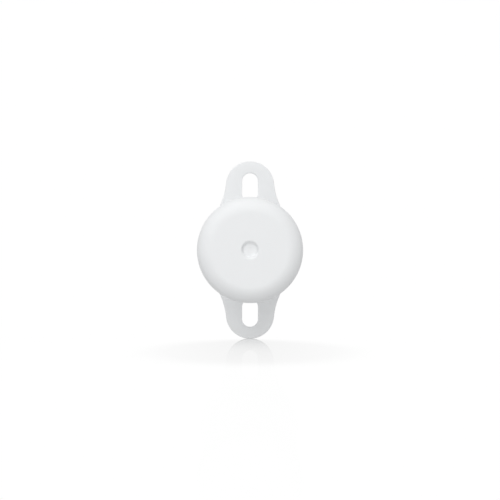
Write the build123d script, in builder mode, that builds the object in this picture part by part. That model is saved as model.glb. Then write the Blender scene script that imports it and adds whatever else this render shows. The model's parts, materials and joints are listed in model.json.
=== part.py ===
from build123d import *
import math
import os

# Recessed door and window sensor. Sizes are in millimetres.
# The origin is on the barrel's axis, at the face of the flange that seats on the door frame.
# The barrel runs along -Y into its drilled hole, the screw ears stand along +Z and -Z, and the
# mouth with its cap faces +Y. A depth is measured from the seating face into the hole.

# Sleeve: barrel
barrel_diameter = 19.8
barrel_length = 50.0
barrel_wall = 1.2
end_wall = 1.4
nose_radius = 3.0
bore_corner_radius = 2.0
mouth_chamfer = 0.3

# Sleeve: moulding dimple in the middle of the closed end
dimple_radius = 1.82
dimple_lip_radius = 0.4
dimple_bowl_radius = 0.5
dimple_slope = 74.0

# Sleeve: flange and screw ears
flange_thickness = 1.2
flange_radius = 11.9
flange_edge_radius = 0.2
ear_span = 43.0
ear_radius = 5.83
ear_flare_radius = 17.4
slot_width = 3.85
slot_length = 6.75
slot_tip_wall = 2.825

# Sleeve: guide rails inside the bore
rail_width_angle = 9.0
rail_side_gap_angle = 1.5
rail_top_gap = 0.3
rail_root = 0.3
rail_end_gap = 2.5

# Module: cap and its plug
slide_clearance = 0.35
cap_lip = 0.7
cap_disc_thickness = 1.0
cap_skin = 1.6
cap_edge_radius = 0.4
plug_clearance = 0.2
plug_length = 2.4
plug_wall = 1.2
plug_chamfer = 0.4
seal_thickness = 1.2
seal_clearance = 0.05
seal_groove_depth = 1.1
seal_groove_slack = 0.15
seal_start = 0.0
pry_notch_width = 5.0
pry_notch_height = 0.55
pry_notch_depth = 0.8
dish_radius = 3.4
dish_depth = 0.3

# Module: button and light pipe
button_radius = 1.9
button_fit = 0.08
button_face_drop = 0.1
button_edge_radius = 0.25
button_flange_radius = 2.5
button_flange_thickness = 0.5
button_gap = 0.05
button_stem_radius = 1.0
pipe_radius = 0.9
pipe_fit = 0.02
pipe_side_gap = 0.3
pipe_led_gap = 0.2

# Module: trough that carries the board and the cell
cradle_wall = 0.95
cell_clearance = 0.15
front_plate_thickness = 1.0
front_plate_top = -2.1
bulkhead_thickness = 1.0
bulkhead_gap = 0.3
tail_wall = 1.2
tail_gap = 1.0
arm_angle = 25.0
ledge_width = 1.9
ledge_thickness = 0.8
peg_radius = 0.55
peg_fit = 0.05
peg_head_radius = 0.85
peg_head_height = 0.5
peg_head_chamfer = 0.2
peg_edge_distance = 1.0
peg_depths = (9.4, 17.0)

# Module: screws that fix the trough to the cap
screw_angle = 55.0
screw_head_radius = 1.3
screw_head_height = 0.8
screw_shank_radius = 0.75
screw_fit = 0.02
screw_engagement = 2.2
screw_head_gap = 0.3
screw_boss_radius = 1.5
screw_recess_radius = 0.6
screw_recess_depth = 0.4

# Module: circuit board and what stands on it
board_top = -1.9
board_thickness = 1.0
board_length = 13.6
board_front_gap = 0.3
board_side_gap = 0.2
board_corner_radius = 0.6
switch_width = 4.5
switch_length = 3.0
switch_height = 3.6
switch_axis_height = 1.9
switch_start_gap = 0.7
switch_frame_thickness = 0.3
switch_frame_hole_radius = 1.15
plunger_radius = 0.8
plunger_fit = 0.05
plunger_stand = 0.7
plunger_depth = 0.5
plunger_hole_depth = 1.3
led_width = 1.6
led_length = 1.2
led_height = 1.8
led_start_gap = 0.3
led_axis_height = 1.0
antenna_width = 1.6
antenna_length = 3.2
antenna_height = 1.1
antenna_edge_gap = 0.6
shield_center_x = -1.6
shield_start = 10.6
shield_width = 5.6
shield_length = 5.2
shield_height = 1.6
shield_wall = 0.2
shield_corner = 0.4
radio_chip_size = 4.0
radio_chip_height = 0.85
right_parts_x = 3.0
crystal_width = 2.0
crystal_length = 2.5
crystal_height = 0.7
crystal_start = 10.7
regulator_width = 1.6
regulator_length = 2.2
regulator_height = 1.0
regulator_start = 13.6
capacitor_width = 0.8
capacitor_length = 1.2
capacitor_height = 0.7
capacitor_depth = 9.2
capacitor_pitch = 1.4
capacitor_count = 4
resistor_width = 0.5
resistor_length = 1.0
resistor_height = 0.35
resistor_x = 4.45
resistor_start = 11.4
resistor_pitch = 1.35
resistor_count = 4

# Module: reed switch under the board
reed_glass_radius = 0.9
reed_board_gap = 0.45
reed_depth = 7.0
reed_lead_radius = 0.22
reed_lead_side_gap = 0.6
reed_lead_reach = 0.8
reed_lead_fit = 0.02
reed_lead_insert = 0.8
reed_lead_bend = 0.5
reed_end_radius = 0.6

# Module: cell and its contacts
contact_thickness = 0.4
contact_width = 6.0
contact_height = 9.0
contact_slack = 0.1
leaf_width = 4.0
leaf_span = 8.0
leaf_rise = 1.0
leaf_thickness = 0.35
strap_width = 3.0
strap_cell_gap = 0.2
strap_groove_gap = 0.05
strap_groove_margin = 0.2
strap_riser_inset = 1.5
tab_landing = 1.6
cell_cap_radius = 2.5
cell_cap_height = 1.1
cell_cap_edge_radius = 0.3
cell_wrap = 0.2
cell_wrap_fit = 0.02
cell_wrap_lip = 1.1
cell_insulator_thickness = 0.3
cell_can_wall = 0.4
cell_can_foot = 0.4
cell_core_gap = 0.02

# Worked out: radii, from the bore inwards
barrel_radius = barrel_diameter / 2
bore_radius = barrel_radius - barrel_wall
cradle_outer_radius = bore_radius - slide_clearance
cradle_inner_radius = cradle_outer_radius - cradle_wall
cell_radius = cradle_inner_radius - cell_clearance
rail_inner_radius = cradle_inner_radius + rail_top_gap
plug_radius = bore_radius - plug_clearance
groove_floor_radius = plug_radius - seal_groove_depth
plug_inner_radius = groove_floor_radius - plug_wall
seal_center_radius = bore_radius - seal_clearance - seal_thickness / 2
cap_radius = bore_radius + barrel_wall + cap_lip

# Worked out: depths, from the cap inwards
cap_face_depth = -flange_thickness - cap_disc_thickness
cap_inner_depth = cap_face_depth + cap_skin
front_plate_end = plug_length + front_plate_thickness
board_start = front_plate_end + screw_head_height + board_front_gap
board_end = board_start + board_length
bulkhead_start = board_end + bulkhead_gap
bulkhead_end = bulkhead_start + bulkhead_thickness
dimple_turn = math.radians(dimple_slope)
dimple_lip_end = dimple_radius - dimple_lip_radius * math.sin(dimple_turn)
dimple_lip_depth = dimple_lip_radius * (1 - math.cos(dimple_turn))
dimple_floor_radius = dimple_lip_end - dimple_bowl_radius * math.sin(dimple_turn)
dimple_depth = dimple_lip_depth + dimple_bowl_radius * (1 - math.cos(dimple_turn))
bore_floor_depth = barrel_length - end_wall
tail_end = bore_floor_depth - tail_gap
tail_start = tail_end - tail_wall
cell_start = bulkhead_end + contact_thickness
cell_end = tail_start - contact_thickness - leaf_rise
shoulder_depth = cell_start + cell_cap_height
switch_start = board_start + switch_start_gap
plunger_top_depth = switch_start - plunger_stand
led_start = board_start + led_start_gap

# Worked out: heights and sideways places
board_bottom = board_top - board_thickness
board_half_width = math.sqrt(cradle_inner_radius**2 - board_bottom**2) - board_side_gap
button_height = board_top + switch_axis_height
led_height_axis = board_top + led_axis_height
pipe_x = pipe_radius + pipe_side_gap - plug_inner_radius
peg_x = board_half_width - peg_edge_distance
peg_places = [(side * peg_x, -depth) for depth in peg_depths for side in (-1, 1)]
screw_circle_radius = cradle_inner_radius - screw_head_radius - screw_head_gap
screw_x = screw_circle_radius * math.cos(math.radians(screw_angle))
screw_z = -screw_circle_radius * math.sin(math.radians(screw_angle))
screw_places = [(-screw_x, screw_z), (screw_x, screw_z)]
ledge_inner_x = board_half_width - ledge_width
reed_lead_x = ledge_inner_x - reed_lead_side_gap
reed_glass_half = reed_lead_x - reed_lead_reach
reed_z = board_bottom - reed_board_gap - reed_glass_radius
strap_top = -cell_radius - strap_cell_gap
strap_bottom = strap_top - contact_thickness
strap_groove_floor = strap_bottom - strap_groove_gap
strap_groove_half_width = strap_width / 2 + contact_slack
strap_groove_start = board_end - strap_riser_inset - contact_slack
strap_groove_top = strap_groove_margin - math.sqrt(cradle_inner_radius**2 - strap_groove_half_width**2)
peg_top = board_top + peg_head_height

# Worked out: cell
cell_can_radius = cell_radius - cell_wrap - cell_wrap_fit
insulator_start = shoulder_depth + cell_wrap + cell_wrap_fit
can_start = insulator_start + cell_insulator_thickness
can_end = cell_end - cell_can_foot

# Worked out: screw ears
ear_center = ear_span / 2 - ear_radius
slot_spacing = ear_span - slot_length - 2 * slot_tip_wall

os.makedirs("parts", exist_ok=True)


def across(depth):
    """The plane across the barrel at a depth: its X is +X, its Y is +Z, its normal goes deeper."""
    return Plane.XZ.offset(depth)


def ring_sector(inner_radius, outer_radius, start_angle, end_angle):
    """Face between two arcs about the barrel's axis, angles in degrees from +X towards +Z."""
    with BuildSketch() as face:
        with BuildLine():
            outer = CenterArc((0, 0), outer_radius, start_angle, end_angle - start_angle)
            inner = CenterArc((0, 0), inner_radius, start_angle, end_angle - start_angle)
            Line(outer @ 0, inner @ 0)
            Line(outer @ 1, inner @ 1)
        make_face()
    return face.sketch


def ear_outline():
    """Upper ear: a round tip that flares through two hollow arcs into the flange's disc."""
    disc_reach = flange_radius + ear_flare_radius
    tip_reach = ear_radius + ear_flare_radius
    flare_z = (disc_reach**2 - tip_reach**2 + ear_center**2) / (2 * ear_center)
    flare_x = math.sqrt(disc_reach**2 - flare_z**2)
    disc_angle = math.atan2(-flare_z, -flare_x)
    tip_angle = math.atan2(ear_center - flare_z, -flare_x)
    turn = math.degrees((tip_angle - disc_angle) % (-2 * math.pi))
    with BuildSketch() as face:
        with BuildLine():
            right = CenterArc((flare_x, flare_z), ear_flare_radius, math.degrees(disc_angle), turn)
            left = mirror(right, about=Plane.YZ)
            ThreePointArc(right @ 1, (0, ear_span / 2), left @ 1)
            Line(right @ 0, left @ 0)
        make_face()
    return face.sketch


# Sleeve housing: barrel, flange and ears in one moulding
with BuildPart() as sleeve_housing:
    with BuildSketch(across(-flange_thickness)):
        Circle(flange_radius)
        ear = ear_outline()
        add(ear)
        add(mirror(ear, about=Plane.XZ, mode=Mode.PRIVATE))
        with Locations((0, slot_spacing / 2), (0, -slot_spacing / 2)):
            SlotOverall(slot_length, slot_width, rotation=90, mode=Mode.SUBTRACT)
    extrude(amount=flange_thickness)
    outer_face = sleeve_housing.faces().sort_by(Axis.Y)[-1]
    seat_face = sleeve_housing.faces().sort_by(Axis.Y)[0]
    fillet(outer_face.outer_wire().edges() + seat_face.outer_wire().edges(), flange_edge_radius)
    with BuildSketch(Plane.XY):
        with BuildLine():
            Polyline(
                (dimple_radius, -barrel_length),
                (barrel_radius - nose_radius, -barrel_length),
            )
            RadiusArc(
                (barrel_radius - nose_radius, -barrel_length),
                (barrel_radius, nose_radius - barrel_length),
                -nose_radius,
            )
            Polyline(
                (barrel_radius, nose_radius - barrel_length),
                (barrel_radius, flange_thickness / 2),
                (0, flange_thickness / 2),
                (0, dimple_depth - barrel_length),
                (dimple_floor_radius, dimple_depth - barrel_length),
            )
            RadiusArc(
                (dimple_floor_radius, dimple_depth - barrel_length),
                (dimple_lip_end, dimple_lip_depth - barrel_length),
                dimple_bowl_radius,
            )
            RadiusArc(
                (dimple_lip_end, dimple_lip_depth - barrel_length),
                (dimple_radius, -barrel_length),
                -dimple_lip_radius,
            )
        make_face()
    revolve(axis=Axis.Y)
    with BuildSketch(Plane.XY):
        with BuildLine():
            Polyline(
                (bore_radius, bore_corner_radius - bore_floor_depth),
                (bore_radius, flange_thickness - mouth_chamfer),
                (bore_radius + mouth_chamfer, flange_thickness),
                (0, flange_thickness),
                (0, -bore_floor_depth),
                (bore_radius - bore_corner_radius, -bore_floor_depth),
            )
            RadiusArc(
                (bore_radius - bore_corner_radius, -bore_floor_depth),
                (bore_radius, bore_corner_radius - bore_floor_depth),
                -bore_corner_radius,
            )
        make_face()
    revolve(axis=Axis.Y, mode=Mode.SUBTRACT)
    rail_start_angle = arm_angle + rail_side_gap_angle
    rail_end_angle = rail_start_angle + rail_width_angle
    with BuildSketch(across(bulkhead_start)):
        for start, end in (
            (rail_start_angle, rail_end_angle),
            (180 - rail_end_angle, 180 - rail_start_angle),
        ):
            add(ring_sector(rail_inner_radius, bore_radius + rail_root, start, end))
    extrude(amount=bore_floor_depth - rail_end_gap - bulkhead_start)
sleeve_housing.part.label = "sleeve_housing"
export_step(sleeve_housing.part, "parts/sleeve_housing.step")


# End cap: disc on the flange's outer face, with a hollow plug in the mouth
with BuildPart() as end_cap:
    groove_end = seal_start + seal_thickness + seal_groove_slack
    with BuildSketch(Plane.XY):
        with BuildLine():
            Polyline(
                (cap_radius, -cap_face_depth - cap_edge_radius),
                (cap_radius, flange_thickness),
                (plug_radius, flange_thickness),
                (plug_radius, -seal_start),
                (groove_floor_radius, -seal_start),
                (groove_floor_radius, -groove_end),
                (plug_radius, -groove_end),
                (plug_radius, plug_chamfer - plug_length),
                (plug_radius - plug_chamfer, -plug_length),
                (plug_inner_radius, -plug_length),
                (plug_inner_radius, -cap_inner_depth),
                (0, -cap_inner_depth),
                (0, -cap_face_depth),
                (cap_radius - cap_edge_radius, -cap_face_depth),
            )
            RadiusArc(
                (cap_radius - cap_edge_radius, -cap_face_depth),
                (cap_radius, -cap_face_depth - cap_edge_radius),
                cap_edge_radius,
            )
        make_face()
    revolve(axis=Axis.Y)
    with BuildSketch(across(cap_inner_depth)):
        with Locations(*screw_places):
            Circle(screw_boss_radius)
    extrude(amount=plug_length - cap_inner_depth)
    with BuildSketch(across(front_plate_end)):
        with Locations(*screw_places):
            Circle(screw_shank_radius + screw_fit)
    extrude(amount=-front_plate_thickness - screw_engagement, mode=Mode.SUBTRACT)
    with BuildSketch(across(cap_face_depth)):
        with Locations((0, button_height)):
            Circle(button_radius + button_fit)
        with Locations((pipe_x, led_height_axis)):
            Circle(pipe_radius + pipe_fit)
    extrude(amount=cap_skin, mode=Mode.SUBTRACT)
    with BuildSketch(across(cap_face_depth)):
        with Locations((0, button_height)):
            Circle(dish_radius)
    extrude(amount=dish_depth, mode=Mode.SUBTRACT)
    with BuildSketch(across(-flange_thickness)):
        with Locations((cap_radius, 0), (-cap_radius, 0)):
            Rectangle(2 * pry_notch_depth, pry_notch_width)
    extrude(amount=-pry_notch_height, mode=Mode.SUBTRACT)
end_cap.part.label = "end_cap"
export_step(end_cap.part, "parts/end_cap.step")


# Cap seal: ring of round section in the plug's groove
with BuildPart() as cap_seal:
    with BuildSketch(Plane.XY):
        with Locations((seal_center_radius, -(seal_start + groove_end) / 2)):
            Circle(seal_thickness / 2)
    revolve(axis=Axis.Y)
cap_seal.part.label = "cap_seal"
export_step(cap_seal.part, "parts/cap_seal.step")


# Light pipe: clear rod from the cap's face to just short of the status light
with BuildPart() as light_pipe:
    with BuildSketch(across(cap_face_depth)):
        with Locations((pipe_x, led_height_axis)):
            Circle(pipe_radius)
    extrude(amount=led_start - pipe_led_gap - cap_face_depth)
light_pipe.part.label = "light_pipe"
export_step(light_pipe.part, "parts/light_pipe.step")


# Action button: face in the cap's dish, a flange behind the skin and a stem to the switch
button_face_depth = cap_face_depth + button_face_drop
button_flange_depth = cap_inner_depth + button_gap
with BuildPart() as action_button:
    with BuildSketch(across(button_face_depth)):
        with Locations((0, button_height)):
            Circle(button_radius)
    extrude(amount=button_flange_depth - button_face_depth)
    fillet(action_button.edges().group_by(Axis.Y)[-1], button_edge_radius)
    with BuildSketch(across(button_flange_depth)):
        with Locations((0, button_height)):
            Circle(button_flange_radius)
    extrude(amount=button_flange_thickness)
    with BuildSketch(across(button_flange_depth + button_flange_thickness)):
        with Locations((0, button_height)):
            Circle(button_stem_radius)
    extrude(amount=plunger_top_depth - button_flange_depth - button_flange_thickness)
action_button.part.label = "action_button"
export_step(action_button.part, "parts/action_button.step")


# Switch plunger: pin of the push switch, under the button's stem
with BuildPart() as switch_plunger:
    with BuildSketch(across(plunger_top_depth)):
        with Locations((0, button_height)):
            Circle(plunger_radius)
    extrude(amount=plunger_stand + plunger_depth)
switch_plunger.part.label = "switch_plunger"
export_step(switch_plunger.part, "parts/switch_plunger.step")


# Switch base: moulded block on the board, with the plunger's hole in front
with BuildPart() as switch_base:
    with BuildSketch(Plane.XY.offset(board_top)):
        with Locations((0, -switch_start - switch_length / 2)):
            Rectangle(switch_width, switch_length)
    extrude(amount=switch_height)
    with BuildSketch(across(switch_start)):
        with Locations((0, button_height)):
            Circle(plunger_radius + plunger_fit)
    extrude(amount=plunger_hole_depth, mode=Mode.SUBTRACT)
switch_base.part.label = "switch_base"
export_step(switch_base.part, "parts/switch_base.step")


# Switch frame: folded metal over the base's front, top and sides
frame_front_depth = switch_start - switch_frame_thickness
frame_half_width = switch_width / 2 + switch_frame_thickness
with BuildPart() as switch_frame:
    with BuildSketch(across(frame_front_depth)):
        with Locations((0, board_top)):
            Rectangle(
                2 * frame_half_width,
                switch_height + switch_frame_thickness,
                align=(Align.CENTER, Align.MIN),
            )
    extrude(amount=switch_frame_thickness + switch_length)
    with BuildSketch(across(switch_start)):
        with Locations((0, board_top)):
            Rectangle(switch_width, switch_height, align=(Align.CENTER, Align.MIN))
    extrude(amount=switch_length, mode=Mode.SUBTRACT)
    with BuildSketch(across(frame_front_depth)):
        with Locations((0, button_height)):
            Circle(switch_frame_hole_radius)
    extrude(amount=switch_frame_thickness, mode=Mode.SUBTRACT)
switch_frame.part.label = "switch_frame"
export_step(switch_frame.part, "parts/switch_frame.step")


# Carrier frame: trough hung from the cap, with the board in front and the cell behind
with BuildPart() as carrier_frame:
    arm_start = 180 - arm_angle
    arm_end = 360 + arm_angle
    with BuildSketch(across(plug_length)):
        add(ring_sector(cradle_inner_radius, cradle_outer_radius, 180, 360))
    extrude(amount=bulkhead_end - plug_length)
    with BuildSketch(across(bulkhead_start)):
        add(ring_sector(cradle_inner_radius, cradle_outer_radius, arm_start, arm_end))
    extrude(amount=tail_end - bulkhead_start)
    with BuildSketch(across(plug_length)):
        Circle(cradle_outer_radius)
        with Locations((0, front_plate_top)):
            Rectangle(
                2 * cradle_outer_radius,
                2 * cradle_outer_radius,
                align=(Align.CENTER, Align.MIN),
                mode=Mode.SUBTRACT,
            )
        with Locations(*screw_places):
            Circle(screw_shank_radius + screw_fit, mode=Mode.SUBTRACT)
    extrude(amount=front_plate_thickness)
    for wall_start, wall_thickness in (
        (bulkhead_start, bulkhead_thickness),
        (tail_start, tail_wall),
    ):
        with BuildSketch(across(wall_start)):
            Circle(cradle_inner_radius)
            add(ring_sector(cell_radius, cradle_outer_radius, arm_start, arm_end))
        extrude(amount=wall_thickness)
    with BuildSketch(across(front_plate_end)):
        ledge_x = (ledge_inner_x + cradle_outer_radius) / 2
        with Locations((ledge_x, board_bottom), (-ledge_x, board_bottom)):
            Rectangle(
                cradle_outer_radius - ledge_inner_x,
                ledge_thickness,
                align=(Align.CENTER, Align.MAX),
            )
        Circle(cradle_inner_radius + cradle_wall / 2, mode=Mode.INTERSECT)
    extrude(amount=bulkhead_start - front_plate_end)
    with BuildSketch(Plane.XY.offset(board_bottom - ledge_thickness)):
        with Locations(*peg_places):
            Circle(peg_radius)
    extrude(amount=ledge_thickness + board_thickness)
    with BuildSketch(Plane.XY.offset(board_top)):
        with Locations(*peg_places):
            Circle(peg_head_radius)
    extrude(amount=peg_head_height)
    head_rims = carrier_frame.edges().filter_by(GeomType.CIRCLE)
    chamfer(head_rims.filter_by_position(Axis.Z, peg_top, peg_top), peg_head_chamfer)
    with BuildSketch(Plane.XY.offset(strap_groove_floor)):
        with Locations((0, -(strap_groove_start + tail_start) / 2)):
            Rectangle(2 * strap_groove_half_width, tail_start - strap_groove_start)
    extrude(amount=strap_groove_top - strap_groove_floor, mode=Mode.SUBTRACT)
    with BuildSketch(across(bulkhead_start)):
        with Locations((0, board_top + contact_thickness / 2)):
            Rectangle(strap_width + 2 * contact_slack, contact_thickness + 2 * contact_slack)
    extrude(amount=bulkhead_thickness, mode=Mode.SUBTRACT)
carrier_frame.part.label = "carrier_frame"
export_step(carrier_frame.part, "parts/carrier_frame.step")


# Carrier screws: two, through the front plate into the cap's bosses
with BuildPart() as carrier_screws:
    with BuildSketch(across(front_plate_end)):
        with Locations(*screw_places):
            Circle(screw_head_radius)
    extrude(amount=screw_head_height)
    with BuildSketch(across(front_plate_end)):
        with Locations(*screw_places):
            Circle(screw_shank_radius)
    extrude(amount=-front_plate_thickness - screw_engagement)
    with BuildSketch(across(front_plate_end + screw_head_height)):
        with Locations(*screw_places):
            RegularPolygon(screw_recess_radius, 6)
    extrude(amount=-screw_recess_depth, mode=Mode.SUBTRACT)
carrier_screws.part.label = "carrier_screws"
export_step(carrier_screws.part, "parts/carrier_screws.step")


# Circuit board: on the trough's ledges, held by four pegs
reed_lead_places = [(-reed_lead_x, -reed_depth), (reed_lead_x, -reed_depth)]
with BuildPart() as circuit_board:
    with BuildSketch(Plane.XY.offset(board_bottom)):
        with Locations((0, -(board_start + board_end) / 2)):
            RectangleRounded(2 * board_half_width, board_length, board_corner_radius)
        with Locations(*peg_places):
            Circle(peg_radius + peg_fit, mode=Mode.SUBTRACT)
        with Locations(*reed_lead_places):
            Circle(reed_lead_radius + reed_lead_fit, mode=Mode.SUBTRACT)
    extrude(amount=board_thickness)
circuit_board.part.label = "circuit_board"
export_step(circuit_board.part, "parts/circuit_board.step")


# Radio chip: under the shield
shield_center = (shield_center_x, -shield_start - shield_length / 2)
with BuildPart() as radio_chip:
    with BuildSketch(Plane.XY.offset(board_top)):
        with Locations(shield_center):
            Rectangle(radio_chip_size, radio_chip_size)
    extrude(amount=radio_chip_height)
radio_chip.part.label = "radio_chip"
export_step(radio_chip.part, "parts/radio_chip.step")


# Shield can: pressed metal lid, open at the board
with BuildPart() as shield_can:
    with BuildSketch(Plane.XY.offset(board_top)):
        with Locations(shield_center):
            RectangleRounded(shield_width, shield_length, shield_corner)
    extrude(amount=shield_height)
    fillet(shield_can.edges().group_by(Axis.Z)[-1], shield_wall)
    with BuildSketch(Plane.XY.offset(board_top)):
        with Locations(shield_center):
            Rectangle(shield_width - 2 * shield_wall, shield_length - 2 * shield_wall)
    extrude(amount=shield_height - shield_wall, mode=Mode.SUBTRACT)
shield_can.part.label = "shield_can"
export_step(shield_can.part, "parts/shield_can.step")


# Crystal: metal can beside the shield
with BuildPart() as crystal:
    with BuildSketch(Plane.XY.offset(board_top)):
        with Locations((right_parts_x, -crystal_start - crystal_length / 2)):
            RectangleRounded(crystal_width, crystal_length, shield_corner)
    extrude(amount=crystal_height)
crystal.part.label = "crystal"
export_step(crystal.part, "parts/crystal.step")


# Voltage regulator
with BuildPart() as voltage_regulator:
    with BuildSketch(Plane.XY.offset(board_top)):
        with Locations((right_parts_x, -regulator_start - regulator_length / 2)):
            Rectangle(regulator_width, regulator_length)
    extrude(amount=regulator_height)
voltage_regulator.part.label = "voltage_regulator"
export_step(voltage_regulator.part, "parts/voltage_regulator.step")


# Chip antenna: at the board's front edge, nearest the mouth
with BuildPart() as chip_antenna:
    with BuildSketch(Plane.XY.offset(board_top)):
        antenna_x = board_half_width - antenna_edge_gap - antenna_width / 2
        with Locations((antenna_x, -led_start - antenna_length / 2)):
            Rectangle(antenna_width, antenna_length)
    extrude(amount=antenna_height)
chip_antenna.part.label = "chip_antenna"
export_step(chip_antenna.part, "parts/chip_antenna.step")


# Status light: faces the light pipe's inner end
with BuildPart() as status_led:
    with BuildSketch(Plane.XY.offset(board_top)):
        with Locations((pipe_x, -led_start - led_length / 2)):
            Rectangle(led_width, led_length)
    extrude(amount=led_height)
status_led.part.label = "status_led"
export_step(status_led.part, "parts/status_led.step")


# Capacitors: a row behind the switch
with BuildPart() as capacitors:
    with BuildSketch(Plane.XY.offset(board_top)):
        with Locations((0, -capacitor_depth)):
            with GridLocations(capacitor_pitch, 0, capacitor_count, 1):
                Rectangle(capacitor_width, capacitor_length)
    extrude(amount=capacitor_height)
capacitors.part.label = "capacitors"
export_step(capacitors.part, "parts/capacitors.step")


# Resistors: a file along the board's edge
with BuildPart() as resistors:
    with BuildSketch(Plane.XY.offset(board_top)):
        resistor_middle = resistor_start + (resistor_count - 1) * resistor_pitch / 2
        with Locations((resistor_x, -resistor_middle)):
            with GridLocations(0, resistor_pitch, 1, resistor_count):
                Rectangle(resistor_width, resistor_length)
    extrude(amount=resistor_height)
resistors.part.label = "resistors"
export_step(resistors.part, "parts/resistors.step")


# Reed glass: sealed tube across the barrel, under the board
with BuildPart() as reed_glass:
    with BuildSketch(Plane.YZ.offset(-reed_glass_half)):
        with Locations((-reed_depth, reed_z)):
            Circle(reed_glass_radius)
    extrude(amount=2 * reed_glass_half)
    fillet(reed_glass.edges().filter_by(GeomType.CIRCLE), reed_end_radius)
reed_glass.part.label = "reed_glass"
export_step(reed_glass.part, "parts/reed_glass.step")


# Reed leads: one from each end of the glass, bent up into the board
with BuildPart() as reed_leads:
    for side in (-1, 1):
        with BuildLine(Plane.XZ.offset(reed_depth)):
            FilletPolyline(
                (side * reed_glass_half, reed_z),
                (side * reed_lead_x, reed_z),
                (side * reed_lead_x, board_bottom + reed_lead_insert),
                radius=reed_lead_bend,
            )
        with BuildSketch(Plane.YZ.offset(side * reed_glass_half)):
            with Locations((-reed_depth, reed_z)):
                Circle(reed_lead_radius)
        sweep()
reed_leads.part.label = "reed_leads"
export_step(reed_leads.part, "parts/reed_leads.step")


# Positive contact: plate on the bulkhead, with a tab through it onto the board
with BuildPart() as positive_contact:
    with BuildSketch(across(bulkhead_end)):
        Rectangle(contact_width, contact_height)
    extrude(amount=contact_thickness)
    with BuildSketch(across(board_end - tab_landing)):
        with Locations((0, board_top)):
            Rectangle(strap_width, contact_thickness, align=(Align.CENTER, Align.MIN))
    extrude(amount=bulkhead_end + contact_thickness - board_end + tab_landing)
positive_contact.part.label = "positive_contact"
export_step(positive_contact.part, "parts/positive_contact.step")


# Negative contact: plate and bowed leaf behind the cell, and a strap under it to the board
leaf_back = tail_start - contact_thickness
leaf_radius = ((leaf_span / 2) ** 2 + leaf_rise**2) / (2 * leaf_rise)
leaf_inner_radius = leaf_radius - leaf_thickness
leaf_foot = math.sqrt(leaf_inner_radius**2 - (leaf_radius - leaf_rise) ** 2)
riser_start = board_end - strap_riser_inset
with BuildPart() as negative_contact:
    with BuildSketch(across(leaf_back)):
        Rectangle(contact_width, contact_height)
        with Locations((0, strap_bottom)):
            Rectangle(strap_width, -strap_bottom, align=(Align.CENTER, Align.MIN))
    extrude(amount=contact_thickness)
    with BuildSketch(Plane.YZ):
        with BuildLine():
            ThreePointArc((-leaf_back, leaf_span / 2), (-cell_end, 0), (-leaf_back, -leaf_span / 2))
            Line((-leaf_back, -leaf_span / 2), (-leaf_back, -leaf_foot))
            ThreePointArc(
                (-leaf_back, -leaf_foot),
                (-cell_end - leaf_thickness, 0),
                (-leaf_back, leaf_foot),
            )
            Line((-leaf_back, leaf_foot), (-leaf_back, leaf_span / 2))
        make_face()
    extrude(amount=leaf_width / 2, both=True)
    with BuildSketch(across(riser_start)):
        with Locations((0, strap_bottom)):
            Rectangle(strap_width, contact_thickness, align=(Align.CENTER, Align.MIN))
    extrude(amount=tail_start - riser_start)
    with BuildSketch(across(riser_start)):
        with Locations((0, strap_bottom)):
            Rectangle(strap_width, board_bottom - strap_bottom, align=(Align.CENTER, Align.MIN))
    extrude(amount=contact_thickness)
negative_contact.part.label = "negative_contact"
export_step(negative_contact.part, "parts/negative_contact.step")


# Battery can: steel cup, closed at the deep end with a smaller foot
can_foot_radius = cell_can_radius - cell_wrap_lip
with BuildPart() as battery_can:
    with BuildSketch(across(can_start)):
        Circle(cell_can_radius)
    extrude(amount=can_end - can_start)
    with BuildSketch(across(can_end)):
        Circle(can_foot_radius)
    extrude(amount=cell_can_foot)
    with BuildSketch(across(can_start)):
        Circle(cell_can_radius - cell_can_wall)
    extrude(amount=can_end - cell_can_wall - can_start, mode=Mode.SUBTRACT)
battery_can.part.label = "battery_can"
export_step(battery_can.part, "parts/battery_can.step")


# Battery core: what the can holds
with BuildPart() as battery_core:
    with BuildSketch(across(can_start)):
        Circle(cell_can_radius - cell_can_wall - cell_core_gap)
    extrude(amount=can_end - cell_can_wall - cell_core_gap - can_start)
battery_core.part.label = "battery_core"
export_step(battery_core.part, "parts/battery_core.step")


# Battery insulator: ring between the can and the positive cap
with BuildPart() as battery_insulator:
    with BuildSketch(across(insulator_start)):
        Circle(cell_can_radius)
        Circle(cell_cap_radius + cell_wrap_fit, mode=Mode.SUBTRACT)
    extrude(amount=cell_insulator_thickness)
battery_insulator.part.label = "battery_insulator"
export_step(battery_insulator.part, "parts/battery_insulator.step")


# Battery cap: positive terminal
with BuildPart() as battery_cap:
    with BuildSketch(across(cell_start)):
        Circle(cell_cap_radius)
    extrude(amount=can_start - cell_start)
    fillet(battery_cap.edges().group_by(Axis.Y)[-1], cell_cap_edge_radius)
battery_cap.part.label = "battery_cap"
export_step(battery_cap.part, "parts/battery_cap.step")


# Battery wrap: thin sleeve shrunk over both ends of the cell
with BuildPart() as battery_wrap:
    wrap_end = can_end + cell_wrap_fit + cell_wrap
    with BuildSketch(across(shoulder_depth)):
        Circle(cell_radius)
    extrude(amount=wrap_end - shoulder_depth)
    with BuildSketch(across(shoulder_depth + cell_wrap)):
        Circle(cell_radius - cell_wrap)
    extrude(amount=wrap_end - shoulder_depth - 2 * cell_wrap, mode=Mode.SUBTRACT)
    with BuildSketch(across(shoulder_depth)):
        Circle(can_foot_radius + cell_wrap_fit)
    extrude(amount=wrap_end - shoulder_depth, mode=Mode.SUBTRACT)
battery_wrap.part.label = "battery_wrap"
export_step(battery_wrap.part, "parts/battery_wrap.step")
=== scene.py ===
import json
import math

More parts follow.
